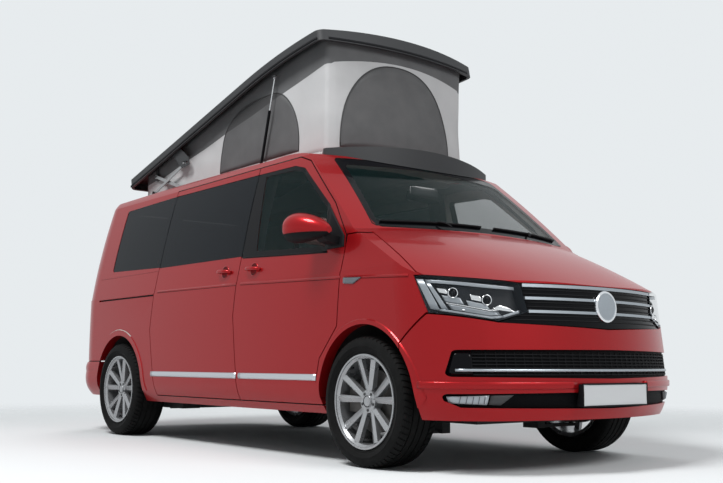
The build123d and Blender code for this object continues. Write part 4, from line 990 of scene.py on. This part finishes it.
# Windscreen border, wipers and the inside mirror
SCREEN_OUTER = [(0.0, 1.302), (0.772, 1.296), (0.79, 1.31), (0.682, 1.76), (0.66, 1.778), (0.0, 1.801)]
SCREEN_INNER = [(0.0, 1.338), (0.736, 1.33), (0.744, 1.338), (0.644, 1.716), (0.622, 1.73), (0.0, 1.752)]
WIPERS = (([(-0.735, 1.322), (-0.4, 1.334), (-0.05, 1.336)], -0.3),
          ([(0.06, 1.336), (0.4, 1.336), (0.7, 1.324)], 0.36))
BLADE = [(-0.005, 0.001), (-0.006, 0.012), (0.0, 0.017), (0.006, 0.012), (0.005, 0.001)]
WIPER_FOOT_Z, ARM_LIFT, ARM_BOW, ARM_STEPS = 1.306, 0.014, 0.008, 8
outer, inner = [half + mirrored(half[-2:0:-1], -1) for half in (SCREEN_OUTER, SCREEN_INNER)]
band("windscreen_frit", outer, inner, on_front, "van", 0.06)
for index, (line, foot_y) in enumerate(WIPERS):
    path = traced(line, on_front, 0.03)
    sweep("wiper_blade_%d" % index, path, BLADE, black_trim)
    head, normal = path[len(path) // 2]
    foot = on_front(foot_y, WIPER_FOOT_Z)[0]
    path = []
    for i in range(ARM_STEPS + 1):
        lift = ARM_LIFT + ARM_BOW * math.sin(math.pi * i / ARM_STEPS)
        path.append((foot.lerp(head, i / ARM_STEPS) + normal * lift, normal))
    sweep("wiper_arm_%d" % index, path, flat_profile(0.006, 0.0, 0.006), black_trim)
rounded_box("inside_mirror", (0.985, -0.115, 1.6), (1.01, 0.115, 1.662), 0.012, moulded, 5)

# Black strips inside the gap between tail bumper and shell close it, their black painted shade within the
# gap; a black strip on the floor of the sliding door's rail slot is painted shade in that recess
SEAM_BACK, SEAM_LONG, SEAM_Z, SEAM_STEPS, SEAM_SINK = -2.3, 0.49, 0.5535, 20, 0.014
SEAM_BELOW = 0.009
SLOT_Z, SLOT_BACK, SLOT_FRONT = 1.0275, -1.85, -0.915
for side, way in SIDES:
    path = []
    for i in range(SEAM_STEPS + 1):
        spot, normal = on_side(SEAM_BACK + SEAM_LONG * i / SEAM_STEPS, SEAM_Z - SEAM_BELOW, way)
        path.append((spot + UP * SEAM_BELOW - normal * SEAM_SINK, normal))
    sweep("tail_gap_shade_" + side, path, flat_profile(0.008, -0.004, 0.004), black_trim)
# The black strip along the rail slot is painted shade in the recess.
trim("rail_slot_shade", [(SLOT_BACK, SLOT_Z), (SLOT_FRONT, SLOT_Z)], side_caster(-1), 0.04,
     strip_profile(0.011, 0.001), black_trim)

# Tail: lamp divisions, blank plate, handle strip, wiper and upper brake lamp
LAMP_IN, LAMP_OUT, LAMP_ROW_HALF = 0.792, 0.872, 0.03
REAR_PLATE = ((-0.26, 0.7), (0.26, 0.7), (0.26, 0.81), (-0.26, 0.81))
REAR_BLADE = [(-0.007, 0.001), (-0.007, 0.014), (0.0, 0.018), (0.007, 0.014), (0.007, 0.001)]
for side, way in SIDES:
    for row, (z, mat) in enumerate(((0.895, lamp_bright), (0.99, amber))):
        low, high = z - LAMP_ROW_HALF, z + LAMP_ROW_HALF
        field = ((LAMP_IN, low), (LAMP_OUT, low), (LAMP_OUT, high), (LAMP_IN, high))
        patch("tail_lamp_field_%d_%s" % (row, side), mirrored(field, way), on_rear, 0.0012, 0.002, mat, 6, 4)
patch("rear_blank_plate", REAR_PLATE, on_rear, 0.004, 0.003, white_plate, 10, 3, "tailgate_body")
trim("tailgate_grip", [(-0.3, 0.842), (0.3, 0.842)], on_rear, 0.04, strip_profile(0.034, 0.016, 0.002, 0.4),
     black_gloss, "tailgate_body")
trim("rear_wiper", [(0.0, 1.262), (-0.42, 1.3)], on_rear, 0.03, REAR_BLADE, black_trim, "tailgate_body",
     taper=lambda s: 1.3 - 0.5 * s)
trim("upper_brake_lamp", [(-0.16, 1.752), (0.16, 1.752)], on_rear, 0.03, strip_profile(0.02, 0.004),
     red_lens, "tailgate_body")

# Seats: pedestals, then crowned cushions, backs and headrests in cloth
VOXEL, FRAMES, PRESSURE, QUALITY, SWELL_CAP = 0.011, 14, 4, 4, 0.014
LEAN, BACK_FOOT, REST_FOOT = 0.2, 0.64, 0.64 + 0.28
BASE_INSET, PAD_INSET, REST_HALF, REST_APART, WIDE_SEAT = 0.04, 0.005, 0.135, 0.26, 0.6


def plump(obj):
    """Swells a pad by a cloth simulation with inner pressure, caps how far a point moves, and applies it."""
    modify(obj, "REMESH", mode="VOXEL", voxel_size=VOXEL)
    made = bpy.data.meshes.new_from_object(obj.evaluated_get(bpy.context.evaluated_depsgraph_get()))
    obj.modifiers.clear()
    obj.data = made
    sim = modify(obj, "CLOTH").modifiers[-1]
    sim.settings.quality = QUALITY
    sim.settings.use_pressure = True
    sim.settings.uniform_pressure_force = PRESSURE
    sim.settings.effector_weights.gravity = 0
    sim.point_cache.frame_start = 1
    sim.point_cache.frame_end = FRAMES
    for number in range(1, FRAMES + 1):
        scene.frame_set(number)
    swollen = obj.evaluated_get(bpy.context.evaluated_depsgraph_get()).data
    shifts = [b.co - a.co for a, b in zip(made.vertices, swollen.vertices)]
    obj.modifiers.clear()
    for vert, shift in zip(made.vertices, shifts):
        if shift.length > SWELL_CAP:
            shift = shift.normalized() * SWELL_CAP
        vert.co += shift
    made.shade_smooth()
    scene.frame_set(1)


def leaning(low):
    """Leans a seat back to the rear as it rises."""
    return lambda p: Vector((p.x - LEAN * (p.z - low), p.y, p.z))


SEATS = (("driver", 0.714, 0.43, 0.5, 1.29, "front_seats"),
         ("passenger", 0.714, -0.43, 0.5, 1.29, "front_seats"),
         ("bench", -1.136, -0.11, 0.98, 1.23, "rear_bench"))
for name, x, y, wide, top, node in SEATS:
    low, high = y - wide / 2, y + wide / 2
    base = rounded_box("seat_base_" + name, (x - 0.2, low + BASE_INSET, 0.346),
                       (x + 0.22, high - BASE_INSET, 0.6), 0.02, moulded, 4)
    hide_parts(node)
    low, high = low + PAD_INSET, high - PAD_INSET
    pads = [rounded_box("seat_cushion_" + name, (x - 0.24, low, 0.596), (x + 0.285, high, 0.69), 0.042,
                        seat_cloth, 9, (0.0, 0.0, 0.016)),
            rounded_box("seat_back_" + name, (x - 0.262, low, 0.665), (x - 0.146, high, top), 0.052,
                        seat_cloth, 9, (0.014, 0.0, 0.0), leaning(BACK_FOOT))]
    rests = (y,) if wide < WIDE_SEAT else (y - REST_APART, y + REST_APART)
    for number, middle in enumerate(rests):
        low, high = middle - REST_HALF, middle + REST_HALF
        pads.append(rounded_box("seat_headrest_%s_%d" % (name, number), (x - 0.215, low, top + 0.02),
                                (x - 0.14, high, top + 0.2), 0.036, seat_cloth, 7,
                                (0.01, 0.0, 0.006), leaning(REST_FOOT)))
    for pad in pads:
        plump(pad)
        modify(pad, "SUBSURF", levels=1, render_levels=1)
for obj in [tent] + tent_trim:
    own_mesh(obj)

# Camera at the photograph's place
EYE = Vector((5.62544, -4.1713, 0.53853))
YAW, PITCH, ROLL, LENS = math.radians(51.648), math.radians(7.091), math.radians(0.203), 48.98
SENSOR, FAR = 36, 200
ahead = Vector((-math.sin(YAW) * math.cos(PITCH), math.cos(YAW) * math.cos(PITCH), math.sin(PITCH)))
right = ahead.cross(UP).normalized()
up = right.cross(ahead)
right, up = right * math.cos(ROLL) + up * math.sin(ROLL), up * math.cos(ROLL) - right * math.sin(ROLL)
camera = bpy.data.objects.new("camera", bpy.data.cameras.new("camera"))
scene.collection.objects.link(camera)
turn = Matrix((right, up, -ahead)).transposed().to_4x4()
camera.matrix_world = Matrix.Translation(EYE) @ turn
camera.data.lens = LENS
camera.data.sensor_width = SENSOR
camera.data.clip_end = FAR
scene.camera = camera
scene.view_settings.view_transform = "Standard"

# Floor that fades into the backdrop
FLOOR_HALF, FADE_START, FADE_END = 12, 2.6, 8.0
floor_mat = worn(shader("floor", (0.72, 0.745, 0.755), 0.85, spec=0.1), 0.8, 0.9, 3)
span = add(floor_mat, "ShaderNodeVectorMath")
span.operation = "LENGTH"
fade = add(floor_mat, "ShaderNodeMapRange", From_Min=FADE_START, From_Max=FADE_END, To_Min=1.0, To_Max=0.0)
fade.interpolation_type = "SMOOTHSTEP"
link(floor_mat, add(floor_mat, "ShaderNodeTexCoord"), "Object", span, 0)
link(floor_mat, span, "Value", fade, "Value")
drive(floor_mat, fade, "Result", "Alpha")
floor_mesh = bpy.data.meshes.new("floor")
floor_corners = [(a * FLOOR_HALF, b * FLOOR_HALF, 0) for a, b in ((-1, -1), (1, -1), (1, 1), (-1, 1))]
floor_mesh.from_pydata(floor_corners, [], [(0, 1, 2, 3)])
floor = bpy.data.objects.new("floor", floor_mesh)
floor_mesh.materials.append(floor_mat)
scene.collection.objects.link(floor)
floor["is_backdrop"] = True

# Backdrop, brighter where it is seen or mirrored than where it lights
PALE, DIM, FULL = (0.8, 0.835, 0.855), 0.36, 1.0
world = bpy.data.worlds.new("studio")
scene.world = world
world.use_nodes = True
ground = world.node_tree.nodes["Background"]
ground.inputs["Color"].default_value = (*PALE, 1)
rays = add(world, "ShaderNodeLightPath")
seen = add(world, "ShaderNodeMath")
both = add(world, "ShaderNodeMath")
level = add(world, "ShaderNodeMapRange", To_Min=DIM, To_Max=FULL)
link(world, rays, "Is Camera Ray", seen, 0)
link(world, rays, "Is Glossy Ray", seen, 1)
link(world, seen, 0, both, 0)
link(world, rays, "Is Transmission Ray", both, 1)
link(world, both, 0, level, "Value")
link(world, level, "Result", ground, "Strength")

# Lamps: name, place, aim, power and size; the cabin lamp is a soft one inside
LIGHTS = (
    ("key", (1.5, -5.0, 8.0), (0.2, -0.4, 0.8), 700, 3.0),
    ("fill", (7.5, 0.5, 5.0), (1.0, 0.0, 0.8), 260, 3.0),
    ("back", (-5.5, 3.0, 6.0), (0.0, 0.0, 1.2), 150, 4.0),
    ("cabin", (0.78, 0.0, 1.7), (0.7, 0.0, 0.9), 7, 0.5),
)
for name, place, aim, power, size in LIGHTS:
    lamp = bpy.data.lights.new(name, "AREA")
    lamp.energy = power
    lamp.shape = "DISK"
    lamp.size = size
    obj = bpy.data.objects.new(name, lamp)
    obj.location = place
    obj.rotation_euler = (Vector(aim) - Vector(place)).to_track_quat("-Z", "Y").to_euler()
    scene.collection.objects.link(obj)

low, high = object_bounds()
